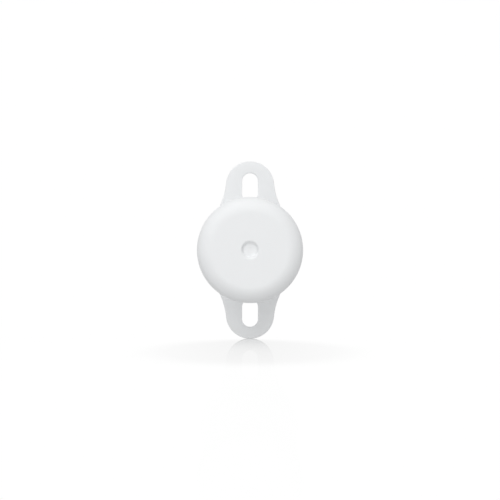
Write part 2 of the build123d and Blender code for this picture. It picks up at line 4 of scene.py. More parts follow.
import bmesh
import bpy
import numpy as np
from bpy.props import FloatProperty, FloatVectorProperty, IntProperty, PointerProperty
from bpy.types import Operator, Panel, PropertyGroup
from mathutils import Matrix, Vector


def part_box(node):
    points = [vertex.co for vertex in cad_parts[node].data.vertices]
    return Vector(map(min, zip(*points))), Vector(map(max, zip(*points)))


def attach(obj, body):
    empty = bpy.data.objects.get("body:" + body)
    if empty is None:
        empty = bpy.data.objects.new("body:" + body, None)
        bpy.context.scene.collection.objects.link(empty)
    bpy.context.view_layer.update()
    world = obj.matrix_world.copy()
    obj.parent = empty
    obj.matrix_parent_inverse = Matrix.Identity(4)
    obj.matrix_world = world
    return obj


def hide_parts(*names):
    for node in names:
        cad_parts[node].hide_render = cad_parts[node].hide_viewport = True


bl_info = {
    "name": "Recessed Door Sensor",
    "version": (1, 0, 0),
    "blender": (4, 5, 0),
    "location": "View3D > Sidebar > Sensor",
    "description": "Barrel door and window sensor with its pull-out module, finished for a studio render",
    "category": "Add Mesh",
}

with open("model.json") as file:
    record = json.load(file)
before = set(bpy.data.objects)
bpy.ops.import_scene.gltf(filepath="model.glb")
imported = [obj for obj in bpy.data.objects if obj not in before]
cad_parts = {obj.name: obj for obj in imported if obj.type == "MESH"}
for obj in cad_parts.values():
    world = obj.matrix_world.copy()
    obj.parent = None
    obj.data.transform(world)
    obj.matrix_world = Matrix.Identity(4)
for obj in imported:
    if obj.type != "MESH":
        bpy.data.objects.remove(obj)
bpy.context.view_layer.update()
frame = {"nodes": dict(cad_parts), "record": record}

# Lengths are in metres and angles in radians. The barrel runs along -Y and its mouth faces +Y.
MM = 0.001
UPRIGHT = math.pi / 2
MOUNTS = {mount["name"]: mount["dims"] for mount in frame["record"]["mounts"] if "dims" in mount}
SLEEVE_LOW, SLEEVE_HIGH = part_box("sleeve_housing")
BARREL_RADIUS = MOUNTS["barrel"]["r_mm"] * MM
BARREL_LENGTH = -SLEEVE_LOW.y
NOSE_RADIUS = BARREL_LENGTH - MOUNTS["barrel"]["length_mm"] * MM
FLANGE_THICKNESS = SLEEVE_HIGH.y
FLANGE_RADIUS = SLEEVE_HIGH.x
EAR_REACH = SLEEVE_HIGH.z
SLOT_RADIUS = MOUNTS["screw_slots"]["hole_r_mm"] * MM
SLOT_LENGTH = MOUNTS["screw_slots"]["slot_length_mm"] * MM
SLOT_CENTRE = MOUNTS["screw_slots"]["spacing_y_mm"] / 2 * MM

# Degrees round the bore where each guide rail starts and that it takes up, and how far it sinks into the
# wall.
RAIL_STARTS = (26.5, 144.5)
RAIL_SPAN = 9
RAIL_ROOT = 0.3 * MM
# Where the heads of the carrier's screws end on Y, and how high tracks and printed lines stand.
SCREW_SEAT = -3.4 * MM
PRINT = 0.02 * MM

# Distances within which points are merged and slivers dropped. Angles in degrees under which a copy of a
# CAD node counts as flat, and over which it is shaded sharp and bevelled.
WELD = 2e-7
SLIVER = 1e-8
CAD_WELD = 1e-6
CAD_FLAT, CAD_SHARP, CAD_BEVEL = 2, 30, 40

# How much of the floor is a mirror image, by distance from the flange's plane, and how far the contact
# shadow reaches, by distance from a point under the barrel's middle.
FLOOR_MIRROR = [
    (0, 0.8), (0.0028, 0.56), (0.007, 0.42), (0.015, 0.24), (0.021, 0.14), (0.03, 0.08), (0.05, 0.015)
]
FLOOR_POOL = [(0, 1.0), (0.018, 1.0), (0.021, 0.7), (0.0245, 0.25), (0.028, 0)]


# Arrays and meshes


def directions(turn):
    """Vectors of length one at these angles."""
    return points(np.cos(turn), np.sin(turn))


def arc(centre, radius, start, end, count):
    """Points on a circle: centre plus radius times (cosine, sine) of evenly spaced angles."""
    return np.asarray(centre) + radius * directions(np.linspace(start, end, count))


def full_turn(count):
    """Evenly spaced angles of one turn, the last one left out."""
    return np.linspace(0, 2 * math.pi, count + 1)[:-1]


def join(*parts):
    """One array of flat points from arrays, lists of points and single points."""
    return np.concatenate([np.reshape(part, (-1, 2)) for part in parts])


def points(*values):
    """Points from their values along two or three axes, where a single number holds for all of them."""
    return np.stack(np.broadcast_arrays(*values), axis=-1)


def unit(vectors):
    """Vectors of length one."""
    return vectors / np.linalg.norm(vectors, axis=-1, keepdims=True)


def capped(rows):
    """Rows with one more at each end, whose points all lie on the middle of the row beside it."""
    ends = [np.broadcast_to(rows[row].mean(axis=0), rows[:1].shape) for row in (0, -1)]
    return np.concatenate([ends[0], rows, ends[1]])


def strip(width, thickness):
    """Flat section of a leg, blade or line, on its base line."""
    half = width / 2
    return np.array([[half, thickness], [-half, thickness], [-half, 0], [half, 0]])


def box_of(name):
    """Lowest and highest corners of a CAD node as arrays."""
    low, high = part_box(name)
    return np.array(low), np.array(high)


def cut(low, high, axis, start, end):
    """Corners of the stretch of a box between two places along an axis."""
    low, high = low.copy(), high.copy()
    low[axis], high[axis] = start, end
    return low, high


class Surface:
    """Grids of points gathered into one mesh. Each grid is a function of two parameters."""

    def __init__(self):
        self.points = []
        self.faces = []
        self.finishes = []
        self.count = 0

    def grid(self, skin, close_rows=False, close_columns=True, finish=0):
        """Adds points shaped rows by columns by three. Each four neighbours are the corners of a face."""
        rows, columns, _ = skin.shape
        index = np.arange(rows * columns).reshape(rows, columns)
        if close_rows:
            index = np.vstack([index, index[:1]])
        if close_columns:
            index = np.hstack([index, index[:, :1]])
        corners = (index[:-1, :-1], index[:-1, 1:], index[1:, 1:], index[1:, :-1])
        faces = np.column_stack([corner.ravel() for corner in corners]) + self.count
        self.points.append(skin.reshape(-1, 3))
        self.faces.append(faces)
        self.finishes.append(np.full(len(faces), finish))
        self.count += rows * columns

    def spin(self, radius, along, turn, place=(0, 0), axis="Y", close_rows=False, finish=0):
        """Turns a profile about an axis through a place. A point is the place plus radius times (cosine,
        sine) across the axis, at its distance along it. The radius may change round the turn."""
        first, second = place[0] + radius * np.cos(turn), place[1] + radius * np.sin(turn)
        order = {"X": (along, first, second), "Y": (first, along, second), "Z": (first, second, along)}
        self.grid(points(*order[axis]), close_rows, finish=finish)

    def lathe(self, profile, turn, *place, **how):
        """Turns a profile of (radius, distance along) that is the same all round."""
        self.spin(profile[:, :1], profile[:, 1:], turn, *place, **how)

    def ruled(self, loop, other, along, rows=2):
        """Flat ring square to Y: straight lines from each point of a loop to its partner in another."""
        share = np.linspace(0, 1, rows)[:, None, None]
        flat = (1 - share) * loop + share * other
        self.grid(points(flat[..., 0], along, flat[..., 1]))

    def edging(self, loop, normals, profile):
        """Edge profile carried round a loop: a point is the loop's point moved along its normal by the
        profile's first value, and stands at the profile's second value along Y."""
        flat = loop + normals * profile[:, None, :1]
        self.grid(points(flat[..., 0], profile[:, 1, None], flat[..., 1]))

    def block(self, low, high, radius, steps=2, finish=0):
        """Box with rounded edges: a point is a corner of the box that is smaller by the radius, plus the
        radius times a direction. The directions go over a whole ball, and each eighth has one corner."""
        middle, half = (low + high) / 2, (high - low) / 2 - radius
        part = np.linspace(0, UPRIGHT, steps + 1)
        turn = np.concatenate([part + quarter * UPRIGHT for quarter in range(4)])
        lift = np.concatenate([part - UPRIGHT, part])[:, None]
        east = np.repeat([1, -1, -1, 1], steps + 1)
        north = np.repeat([1, 1, -1, -1], steps + 1)
        up = np.repeat([-1, 1], steps + 1)[:, None]
        way = points(np.cos(lift) * np.cos(turn), np.cos(lift) * np.sin(turn), np.sin(lift))
        self.grid(capped(middle + points(east, north, up) * half + radius * way), finish=finish)

    def sweep(self, path, side, section, closed=False, finish=0):
        """Carries a section along a path. A point is the path's point plus the section's two values times
        a fixed side direction and the direction square to it and to the run. At a corner that direction
        halves the turn and grows to keep the section's width. Open ends close on their middles."""
        if closed:
            after = unit(np.roll(path, -1, axis=0) - path)
            before = np.roll(after, 1, axis=0)
        else:
            legs = unit(np.diff(path, axis=0))
            before, after = np.concatenate([legs[:1], legs]), np.concatenate([legs, legs[-1:]])
        run = unit(before + after)
        side = np.asarray(side, float)
        rise = unit(np.cross(run, side)) / np.sum(run * after, axis=1, keepdims=True)
        rows = path[:, None] + section[:, :1] * side + section[:, 1:] * rise[:, None]
        self.grid(rows if closed else capped(rows), closed, finish=finish)

    def line(self, corners, level, width, closed=False, finish=0):
        """Thin line of one width on a level face: its flat section carried along (x, y) corners."""
        path = points(corners[:, 0], corners[:, 1], level)
        self.sweep(path, (0, 0, 1), strip(width, PRINT)[:, ::-1], closed, finish)

    def piece(self, name, materials, smooth_angle=35):
        """One object at the origin from all the grids, its doubles merged and its faces pointing out."""
        mesh = bpy.data.meshes.new(name)
        mesh.from_pydata(np.concatenate(self.points).tolist(), [], np.concatenate(self.faces).tolist())
        for material in materials:
            mesh.materials.append(material)
        mesh.polygons.foreach_set("material_index", np.concatenate(self.finishes).astype(np.int32))
        return finish_mesh(name, mesh, smooth_angle)


def settle(made, body, node_name=None):
    """Fixes a piece to the body that it moves with, and lets it take the place of a CAD node
    by hiding that node."""
    if node_name:
        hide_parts(node_name)
    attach(made, body)


def stand_in(shape, node_name, name, materials, slot, *sizes, body="module", smooth_angle=35):
    """Piece in the place of a CAD node. Its shape is a function that adds grids to a surface, from the
    corners of the node's box and any sizes that it takes."""
    surface = Surface()
    shape(surface, *box_of(node_name), *sizes)
    settle(surface.piece(name, materials, smooth_angle), body, node_name)


def finish_mesh(name, mesh, smooth_angle):
    """Merges doubles, turns every face outwards, smooths all but the sharp edges and makes the object."""
    work = bmesh.new()
    work.from_mesh(mesh)
    bmesh.ops.remove_doubles(work, verts=work.verts, dist=WELD)
    bmesh.ops.dissolve_degenerate(work, edges=work.edges, dist=SLIVER)
    bmesh.ops.recalc_face_normals(work, faces=work.faces)
    work.to_mesh(mesh)
    work.free()
    mesh.shade_smooth()
    mesh.set_sharp_from_angle(angle=math.radians(smooth_angle))
    made = bpy.data.objects.new(name, mesh)
    bpy.context.scene.collection.objects.link(made)
    return made


def eased(name, node_name, material, width):
    """Copy of a CAD node of the module, with its triangles merged into flat faces and its sharp edges
    bevelled."""
    mesh = frame["nodes"][node_name].data.copy()
    mesh.materials.clear()
    mesh.materials.append(material)
    work = bmesh.new()
    work.from_mesh(mesh)
    bmesh.ops.remove_doubles(work, verts=work.verts, dist=CAD_WELD)
    bmesh.ops.dissolve_limit(work, angle_limit=math.radians(CAD_FLAT), verts=work.verts, edges=work.edges)
    work.to_mesh(mesh)
    work.free()
    made = finish_mesh(name, mesh, CAD_SHARP)
    bevel = made.modifiers.new("Edges", "BEVEL")
    bevel.width = width
    bevel.segments = 2
    bevel.limit_method = "ANGLE"
    bevel.angle_limit = math.radians(CAD_BEVEL)
    bevel.harden_normals = True
    settle(made, "module", node_name)


# Finishes


def node(material, kind, **settings):
    """A new node in a material, with its own settings and its sockets' values."""
    made = material.node_tree.nodes.new(kind)
    for key, value in settings.items():
        if hasattr(made, key):
            setattr(made, key, value)
        else:
            made.inputs[key.replace("_", " ")].default_value = value
    return made


def bare_material(name):
    """A material with no nodes yet."""
    made = bpy.data.materials.new(name)
    made.use_nodes = True
    made.node_tree.nodes.clear()
    return made


def principled(name, colour, **sockets):
    """A material whose Principled shader has this base colour and these values on its own sockets."""
    made = bpy.data.materials.new(name)
    made.use_nodes = True
    shader = made.node_tree.nodes["Principled BSDF"]
    shader.inputs["Base Color"].default_value = (*colour, 1)
    for socket, value in sockets.items():
        shader.inputs[socket.replace("_", " ")].default_value = value
    return made


def feed(material, source, socket):
    """Links an output to a socket of the material's Principled shader."""
    material.node_tree.links.new(source, material.node_tree.nodes["Principled BSDF"].inputs[socket])


def noise(material, scale, detail=2.0, stretch=(1, 1, 1)):
    """Output of a noise on object coordinates, with its scale in features a metre."""
    place = node(material, "ShaderNodeTexCoord")
    mapping = node(material, "ShaderNodeMapping", Scale=stretch)
    texture = node(material, "ShaderNodeTexNoise", Scale=scale, Detail=detail)
    link = material.node_tree.links.new
    link(place.outputs["Object"], mapping.inputs["Vector"])
    link(mapping.outputs["Vector"], texture.inputs["Vector"])
    return texture.outputs["Fac"]


def raised(material, source, height):
    """Bump up to a height in metres where a source is bright."""
    bump = node(material, "ShaderNodeBump", Distance=height)
    material.node_tree.links.new(source, bump.inputs["Height"])
    feed(material, bump.outputs["Normal"], "Normal")


def grain(material, scale, height, detail=2.0, stretch=(1, 1, 1)):
    """Fine bump of a given height in metres."""
    raised(material, noise(material, scale, detail, stretch), height)


def worn(material, low, high, scale, stretch=(1, 1, 1)):
    """Roughness that wanders between two values."""
    texture = noise(material, scale, 3.0, stretch)
    spread = node(material, "ShaderNodeMapRange", From_Min=0.3, From_Max=0.7, To_Min=low, To_Max=high)
    material.node_tree.links.new(texture, spread.inputs["Value"])
    feed(material, spread.outputs["Result"], "Roughness")


def shade(colour, share):
    """A colour darkened to a share of itself, or lightened by a share over one."""
    return tuple(part * share for part in colour)


def mottled(material, first, second, scale, stretch=(1, 1, 1)):
    """Base colour that wanders between two colours."""
    texture = noise(material, scale, 3.0, stretch)
    mix = node(material, "ShaderNodeMix", data_type="RGBA")
    mix.inputs[6].default_value = (*first, 1)
    mix.inputs[7].default_value = (*second, 1)
    material.node_tree.links.new(texture, mix.inputs[0])
    feed(material, mix.outputs[2], "Base Color")


def moulded(name, colour, roughness, height=1.5e-6, darkest=0.985):
    """Moulded plastic: fine eroded grain of a height, and a slow change of gloss and of shade."""
    made = principled(name, colour, IOR=1.46, Specular_IOR_Level=0.42)
    worn(made, roughness - 0.04, roughness + 0.04, scale=260)
    mottled(made, shade(colour, darkest), colour, scale=180)
    grain(made, 9000, height)
    return made


def metal(name, colour, roughness, stretch=(1, 1, 1)):
    """Plated metal: faint brushing along one way and patches of duller plating."""
    made = principled(name, colour, Metallic=1.0)
    worn(made, roughness - 0.08, roughness + 0.1, 900, stretch)
    mottled(made, shade(colour, 0.86), colour, scale=420)
    grain(made, 6000, 1.2e-6, 3.0, stretch)
    return made


def rubber(name, colour):
    """Moulded rubber: dull, with dust-pale patches and a soft pebbled skin."""
    made = principled(name, colour, IOR=1.5, Specular_IOR_Level=0.35)
    worn(made, 0.5, 0.68, scale=500)
    mottled(made, colour, tuple(part + 0.02 for part in colour), scale=700)
    grain(made, 5000, 4e-6, detail=4.0)
    return made


def clear(name, tint, roughness, refraction, share=1.0):
    """Clear moulding or glass with a trace of haze in its skin; a share of its light goes through."""
    made = principled(name, tint, IOR=refraction, Transmission_Weight=share)
    worn(made, roughness, roughness + 0.06, scale=800)
    grain(made, 1500, 1e-6)
    return made


def film(name, colour):
    """Shrunk plastic film: glossy, drawn a little uneven along the cell."""
    made = principled(name, colour, IOR=1.52, Coat_Weight=0.5, Coat_Roughness=0.12)
    worn(made, 0.25, 0.36, scale=300)
    mottled(made, shade(colour, 0.9), colour, 260, (1, 0.25, 1))
    grain(made, 420, 1.4e-5, 2.0, (1, 0.35, 1))
    return made


def laminate(name, colour):
    """Solder mask over glass cloth: the weave shows as two crossed sets of fine ribs."""
    made = principled(name, colour, IOR=1.52, Coat_Weight=0.25, Coat_Roughness=0.2)
    worn(made, 0.32, 0.46, scale=700)
    mottled(made, shade(colour, 0.72), shade(colour, 1.15), scale=500)
    place = node(made, "ShaderNodeTexCoord")
    ribs = []
    for direction in ("X", "Y"):
        wave = node(made, "ShaderNodeTexWave", bands_direction=direction, Scale=520.0, Distortion=0.6)
        made.node_tree.links.new(place.outputs["Object"], wave.inputs["Vector"])
        ribs.append(wave.outputs["Fac"])
    raised(made, maths(made, "MAXIMUM", *ribs), 6e-6)
    return made


def maths(material, operation, *terms):
    """Output of a math node. Each term is another node's output or a number."""
    made = node(material, "ShaderNodeMath", operation=operation)
    for socket, term in zip(made.inputs, terms):
        if isinstance(term, (int, float)):
            socket.default_value = term
        else:
            material.node_tree.links.new(term, socket)
    return made.outputs[0]


def follow(material, source, steps):
    """Value that follows steps of (distance in metres, value)."""
    reach = steps[-1][0]
    ramp = node(material, "ShaderNodeValToRGB")
    stops = ramp.color_ramp.elements
    stops.remove(stops[1])
    for index, (distance, value) in enumerate(steps):
        stop = stops[0] if index == 0 else stops.new(distance / reach)
        stop.position = distance / reach
        stop.color = (value, value, value, 1)
    material.node_tree.links.new(maths(material, "DIVIDE", source, reach), ramp.inputs[0])
    return ramp.outputs[0]


# Sizes and colours that a user would change


def number(name, description, value, **limits):
    """A number property."""
    return FloatProperty(name=name, description=description, default=value, **limits)


def length(name, description, millimetres):
    """A length property whose default is given in millimetres."""
    return number(name, description, millimetres * MM, unit="LENGTH", precision=5)


def power(name, description, watts):
    """A light's power property."""
    return number(name, description, watts, min=0, unit="POWER")


def colour(name, description, value):
    """A colour property."""
    return FloatVectorProperty(name=name, description=description, default=value, subtype="COLOR", size=3)


class SleeveSizes(PropertyGroup):
    """Shell of the barrel, flange and ears."""

    bore_radius: length("Bore radius", "Radius inside the barrel", 8.7)
    end_wall: length("End wall", "Thickness of the closed end", 1.4)
    bore_corner: length("Bore corner", "Round at the bore's floor", 2.0)
    mouth_chamfer: length("Mouth chamfer", "Lead-in at the mouth", 0.3)
    dimple_radius: length("Dimple radius", "Rim of the dimple in the closed end", 1.82)
    dimple_lip: length("Dimple lip", "Round where the end turns into the dimple", 0.4)
    dimple_bowl: length("Dimple bowl", "Hollow arc down to the dimple's floor", 0.5)
    dimple_slope: number("Dimple slope", "Steepest part of its wall", math.radians(74), subtype="ANGLE")
    ear_radius: length("Ear radius", "Round at each ear's tip", 5.83)
    flare_radius: length("Flare radius", "Hollow arc beside each ear", 17.4)
    edge_radius: length("Edge round", "Round on the flange's rim", 0.2)
    slot_edge: length("Slot edge", "Round on the slots' rims", 0.1)
    ear_root: length("Ear root", "Height where an ear's face begins", 11.0)
    rail_inner: length("Rail inner radius", "How near the guide rails come to the axis", 7.7)
    rail_start: length("Rail start", "Depth where the guide rails begin", 18.4)
    rail_end: length("Rail end", "Depth where the guide rails stop", 46.1)
    steps: IntProperty(name="Steps", description="Points on a quarter of the outline", default=72, min=12)


class ModuleSizes(PropertyGroup):
    """Small parts of the pull-out module."""

    edge: length("Edge", "Bevel on moulded and folded edges", 0.05)
    pitch: length("Thread pitch", "Distance between the carrier screws' threads", 0.6)
    thread: length("Thread height", "Height of the carrier screws' threads", 0.13)
    dish: length("Button dish", "How hollow the button's face is", 0.12)
    terminal: length("Terminal", "Length of the small parts' metal ends", 0.22)
    track: length("Track", "Width of the board's copper tracks", 0.16)
    wrap: length("Wrap", "Thickness of the cell's film", 0.2)
    steps: IntProperty(name="Steps", description="Faces round a small round part", default=48, min=12)


class FinishColours(PropertyGroup):
    """Colours of the mouldings, the board and the cell."""

    shell: colour("Shell", "White of the sleeve and cap", (0.880, 0.893, 0.903))
    button: colour("Button", "Action button", (0.80, 0.815, 0.825))
    carrier: colour("Carrier", "Trough that holds the board and the cell", (0.70, 0.71, 0.70))
    seal: colour("Seal", "Sealing ring", (0.03, 0.03, 0.032))
    mask: colour("Solder mask", "Board", (0.012, 0.10, 0.05))
    wrap: colour("Cell wrap", "Film round the cell", (0.04, 0.22, 0.17))
    roughness: number("Shell roughness", "How matt it is", 0.5, min=0, max=1)


class StageSettings(PropertyGroup):
    """Camera, floor and lights."""

    camera_distance: length("Camera distance", "From the flange's seat", 204.8)
    lens: number("Lens", "Focal length in millimetres", 60.9)
    light_distance: length("Light distance", "From the barrel's middle to each light", 550)
    key_size: length("Key size", "Side of the key light", 600)
    light_size: length("Light size", "Side of each other light", 300)
    key_energy: power("Key", "Light from the top left", 1.59)
    front_energy: power("Front", "Light behind the camera", 0.455)
    bounce_energy: power("Bounce", "Light from below", 0.07)
    rear_energy: power("Rear", "Light on the cap's side", 0.45)
    ambient: number("Ambient", "Strength of the light from all round", 0.497)
    surround: number("Surround", "Brightness of the pale backdrop", 1.004)
    reach: length("Surround reach", "Radius of the floor and the backdrop", 1800)
    floor_shade: number("Floor shade", "How much an unlit floor darkens", 0.18, min=0, max=1)


# Sleeve


def outline(sizes):
    """Upper right quarter of the flange's outline and its outward normals, cut at the ear's root. The disc,
    the hollow flare and the ear are arcs that meet in line: the flare's centre lies a disc radius plus a
    flare radius from the axis, and an ear radius plus a flare radius from the ear's centre."""
    ear_centre = EAR_REACH - sizes.ear_radius
    reach = FLANGE_RADIUS + sizes.flare_radius
    tip_reach = sizes.ear_radius + sizes.flare_radius
    flare_z = (reach**2 - tip_reach**2 + ear_centre**2) / (2 * ear_centre)
    flare_x = math.sqrt(reach**2 - flare_z**2)
    disc_end = math.atan2(flare_z, flare_x)
    root_turn = math.asin((sizes.ear_root - flare_z) / sizes.flare_radius)
    tip_turn = math.asin((ear_centre - flare_z) / tip_reach)
    disc = arc((0, 0), 1, 0, disc_end, sizes.steps // 2)
    low = arc((0, 0), 1, math.pi + disc_end, math.pi - root_turn, sizes.steps // 6)
    high = arc((0, 0), 1, math.pi - root_turn, math.pi - tip_turn, sizes.steps // 3)
    tip = arc((0, 0), 1, -tip_turn, UPRIGHT, sizes.steps // 2)
    centre = np.array([flare_x, flare_z])
    below = join(FLANGE_RADIUS * disc, (centre + sizes.flare_radius * low)[1:])
    above = join(centre + sizes.flare_radius * high, ([0, ear_centre] + sizes.ear_radius * tip)[1:])
    return below, join(disc, -low[1:]), above, join(-high, tip[1:])


def slot_reach(way, half_length, radius):
    """Distance from a slot's centre to its wall along each direction: to the straight side where the ray
    meets it, and otherwise to the round end. A ray along the slot is kept from a division by nothing."""
    across, along = np.maximum(np.abs(way[:, 0]), 1e-12), np.abs(way[:, 1])
    straight = half_length - radius
    side = radius / across
    end = straight * along + np.sqrt(np.maximum(radius**2 - (straight * across) ** 2, 0))
    return np.where(side * along <= straight, side, end)


def ear_faces(surface, sizes, ear_loop):
    """Both faces of each ear, ruled from its outline to the slot, and the slot's wall. A slot's point lies
    on the ray from the slot's centre to the outline's point, and its normal points away from the slot's
    spine."""
    bevel = sizes.slot_edge
    centre = np.array([0, SLOT_CENTRE])
    way = unit(ear_loop - centre)
    slot = centre + way * slot_reach(way, SLOT_LENGTH / 2 + bevel, SLOT_RADIUS + bevel)[:, None]
    spine = np.clip(slot[:, 1] - SLOT_CENTRE, SLOT_RADIUS - SLOT_LENGTH / 2, SLOT_LENGTH / 2 - SLOT_RADIUS)
    normals = unit(slot - centre - points(0, spine))
    wall = join(
        arc((0, bevel), bevel, -UPRIGHT, -math.pi, 5),
        arc((0, FLANGE_THICKNESS - bevel), bevel, math.pi, UPRIGHT, 5),
    )
    for side in (1, -1):
        surface.ruled(side * ear_loop, side * slot, 0, rows=3)
        surface.ruled(side * ear_loop, side * slot, FLANGE_THICKNESS, rows=3)
        surface.edging(side * slot, side * normals, wall)


def flange_faces(surface, sizes):
    """Rim and faces of the flange. Returns the angles round the axis at which the barrel's wall meets it."""
    below, below_normals, above, above_normals = outline(sizes)
    edge = sizes.edge_radius
    top = join(above, above[-2::-1] * [-1, 1])
    top_normals = join(above_normals, above_normals[-2::-1] * [-1, 1])
    right = join(below[:0:-1] * [1, -1], below)
    right_normals = join(below_normals[:0:-1] * [1, -1], below_normals)
    loop = join(right, top[1:], -right[1:], -top[1:-1])
    normals = join(right_normals, top_normals[1:], -right_normals[1:], -top_normals[1:-1])
    rim = join(
        arc((-edge, edge), edge, -UPRIGHT, 0, 6),
        arc((-edge, FLANGE_THICKNESS - edge), edge, 0, UPRIGHT, 6),
    )
    surface.edging(loop, normals, rim)
    right_in, top_in = right - edge * right_normals, top - edge * top_normals
    root = np.linspace(top_in[0], top_in[-1], len(top_in))
    ear_faces(surface, sizes, join(top_in, root[-2:0:-1]))
    middle = join(right_in, root[1:], -right_in[1:], -root[1:-1])
    turn = np.arctan2(middle[:, 1], middle[:, 0])
    surface.ruled(middle, BARREL_RADIUS * directions(turn), 0)
    surface.ruled(middle, (sizes.bore_radius + sizes.mouth_chamfer) * directions(turn), FLANGE_THICKNESS)
    return turn


def barrel_walls(surface, sizes, turn):
    """Outside and inside of the barrel, each a profile turned about the axis. The dimple's wall is a lip and
    a bowl, two arcs that meet in line at the steepest slope, and a ring just inside the bowl keeps its floor
    flat. The flat end's rings crowd towards its rims by half a cosine wave, which keeps its shading flat up
    to them."""
    lip, bowl, slope = sizes.dimple_lip, sizes.dimple_bowl, sizes.dimple_slope
    floor_radius = sizes.dimple_radius - (lip + bowl) * math.sin(slope)
    floor_depth = BARREL_LENGTH - (lip + bowl) * (1 - math.cos(slope))
    nose_centre, nose_start = BARREL_RADIUS - NOSE_RADIUS, BARREL_LENGTH - NOSE_RADIUS
    crowded = 0.5 - 0.5 * np.cos(np.linspace(0, math.pi, 16)[1:-1])
    flat = sizes.dimple_radius + crowded * (nose_centre - sizes.dimple_radius)
    outside = join(
        [(0, floor_depth), (0.96 * floor_radius, floor_depth)],
        arc((floor_radius, floor_depth + bowl), bowl, -UPRIGHT, slope - UPRIGHT, 14),
        arc((sizes.dimple_radius, BARREL_LENGTH - lip), lip, UPRIGHT + slope, UPRIGHT, 14)[1:],
        points(flat, BARREL_LENGTH),
        arc((nose_centre, nose_start), NOSE_RADIUS, UPRIGHT, 0, 40),
        np.linspace((BARREL_RADIUS, nose_start), (BARREL_RADIUS, 0), 13)[1:],
    )
    surface.lathe(outside * [1, -1], turn)
    floor = BARREL_LENGTH - sizes.end_wall
    corner = sizes.bore_corner
    inside = join(
        [(0, floor), (sizes.bore_radius / 2, floor)],
        arc((sizes.bore_radius - corner, floor - corner), corner, UPRIGHT, 0, 12),
        (sizes.bore_radius, sizes.mouth_chamfer - FLANGE_THICKNESS),
        (sizes.bore_radius + sizes.mouth_chamfer, -FLANGE_THICKNESS),
    )
    surface.lathe(inside * [1, -1], turn)


def guide_rails(surface, sizes):
    """Two rails inside the bore: a section between two radii and two angles, carried along the barrel."""
    wall = sizes.bore_radius + RAIL_ROOT
    path = np.array([[0, -sizes.rail_start, 0], [0, -sizes.rail_end, 0]])
    for first in RAIL_STARTS:
        start, end = np.radians([first, first + RAIL_SPAN])
        section = join(arc((0, 0), sizes.rail_inner, start, end, 6), arc((0, 0), wall, end, start, 6))
        surface.sweep(path, (1, 0, 0), section)


class SENSOR_OT_sleeve(Operator):
    """Builds the sleeve: closed barrel with two guide rails in its bore, flange and screw ears"""

    bl_idname = "sensor.sleeve"
    bl_label = "Sleeve"

    def execute(self, context):
        sizes, look = context.scene.sensor_sleeve, context.scene.sensor_colours
        surface = Surface()
        barrel_walls(surface, sizes, flange_faces(surface, sizes))
        guide_rails(surface, sizes)
        made = surface.piece("sleeve_shell", [moulded("shell_white", look.shell, look.roughness)])
        settle(made, "sleeve", "sleeve_housing")
        return {"FINISHED"}


# Cap, seal, button and light pipe


def ring_seal(surface, low, high, sizes):
    """Ring of round section: the middle circle plus the section's radius times a direction across it. A
    parting line stands a little proud where the section meets the ring's outer and inner middles."""
    section = (high[1] - low[1]) / 2
    turn = full_turn(40)
    proud, breadth = 0.012, 0.12
    reach = section * (1 - proud + proud * np.exp(-((np.sin(turn) / breadth) ** 2)))
    profile = (high[0] - section, (low[1] + high[1]) / 2) + reach[:, None] * directions(turn)
    surface.lathe(profile, full_turn(4 * sizes.steps), close_rows=True)


def button(surface, low, high, sizes):
    """Action button: a shallow dish with a round rim, a flange behind the skin and a stem. The dish falls
    with the square of the distance from its rim towards the middle."""
    face, stem_end, flange = high[1], low[1], high[0]
    rim, edge, stem, stem_chamfer = 1.9 * MM, 0.25 * MM, 1.0 * MM, 0.1 * MM
    flange_face, flange_back, chamfer = 0.55 * MM, 0.05 * MM, 0.06 * MM
    inner = np.linspace(0, rim - edge, 10)
    dish = face - sizes.dish * (1 - (inner / (rim - edge)) ** 2)
    profile = join(
        points(inner, dish),
        arc((rim - edge, face - edge), edge, UPRIGHT, 0, 8)[1:],
        [(rim, flange_face), (flange - chamfer, flange_face), (flange, flange_face - chamfer)],
        [(flange, flange_back + chamfer), (flange - chamfer, flange_back), (stem, flange_back)],
        [(stem, stem_end + stem_chamfer), (stem - stem_chamfer, stem_end), (0, stem_end)],
    )
    surface.lathe(profile, full_turn(2 * sizes.steps))


def light_rod(surface, low, high, sizes):
    """Light pipe: a rod with a small round at each end and a slightly domed inner face, which falls back
    with the square of the radius."""
    radius, middle = (high[0] - low[0]) / 2, (low + high) / 2
    edge, rise = 0.1 * MM, 0.15 * MM
    dome = np.linspace(radius - edge, 0, 6)
    profile = join(
        (0, high[1]),
        arc((radius - edge, high[1] - edge), edge, UPRIGHT, 0, 5),
        arc((radius - edge, low[1] + rise + edge), edge, 0, -UPRIGHT, 5),
        points(dome, low[1] + rise * (dome / radius) ** 2)[1:],
    )
    surface.lathe(profile, full_turn(sizes.steps), middle[[0, 2]])


class SENSOR_OT_cap(Operator):
    """Builds the cap's parts: disc and plug, seal, action button and light pipe"""

    bl_idname = "sensor.cap"
    bl_label = "Cap"

    def execute(self, context):
        sizes, look = context.scene.sensor_module, context.scene.sensor_colours
        shell = moulded("cap_white", look.shell, look.roughness)
        eased("cap_disc", "end_cap", shell, sizes.edge)
        black = [rubber("seal_black", look.seal)]
        stand_in(ring_seal, "cap_seal", "cap_seal_ring", black, "seal_rubber", sizes)
        grey = [moulded("button_grey", look.button, 0.42, 1e-6)]
        stand_in(button, "action_button", "action_button_cap", grey, "button_plastic", sizes, body="button")
        resin = [clear("pipe_clear", (0.86, 0.89, 0.90), 0.2, 1.49, 0.45)]
        stand_in(light_rod, "light_pipe", "light_rod", resin, "clear_plastic", sizes)
        return {"FINISHED"}


# Trough and its screws


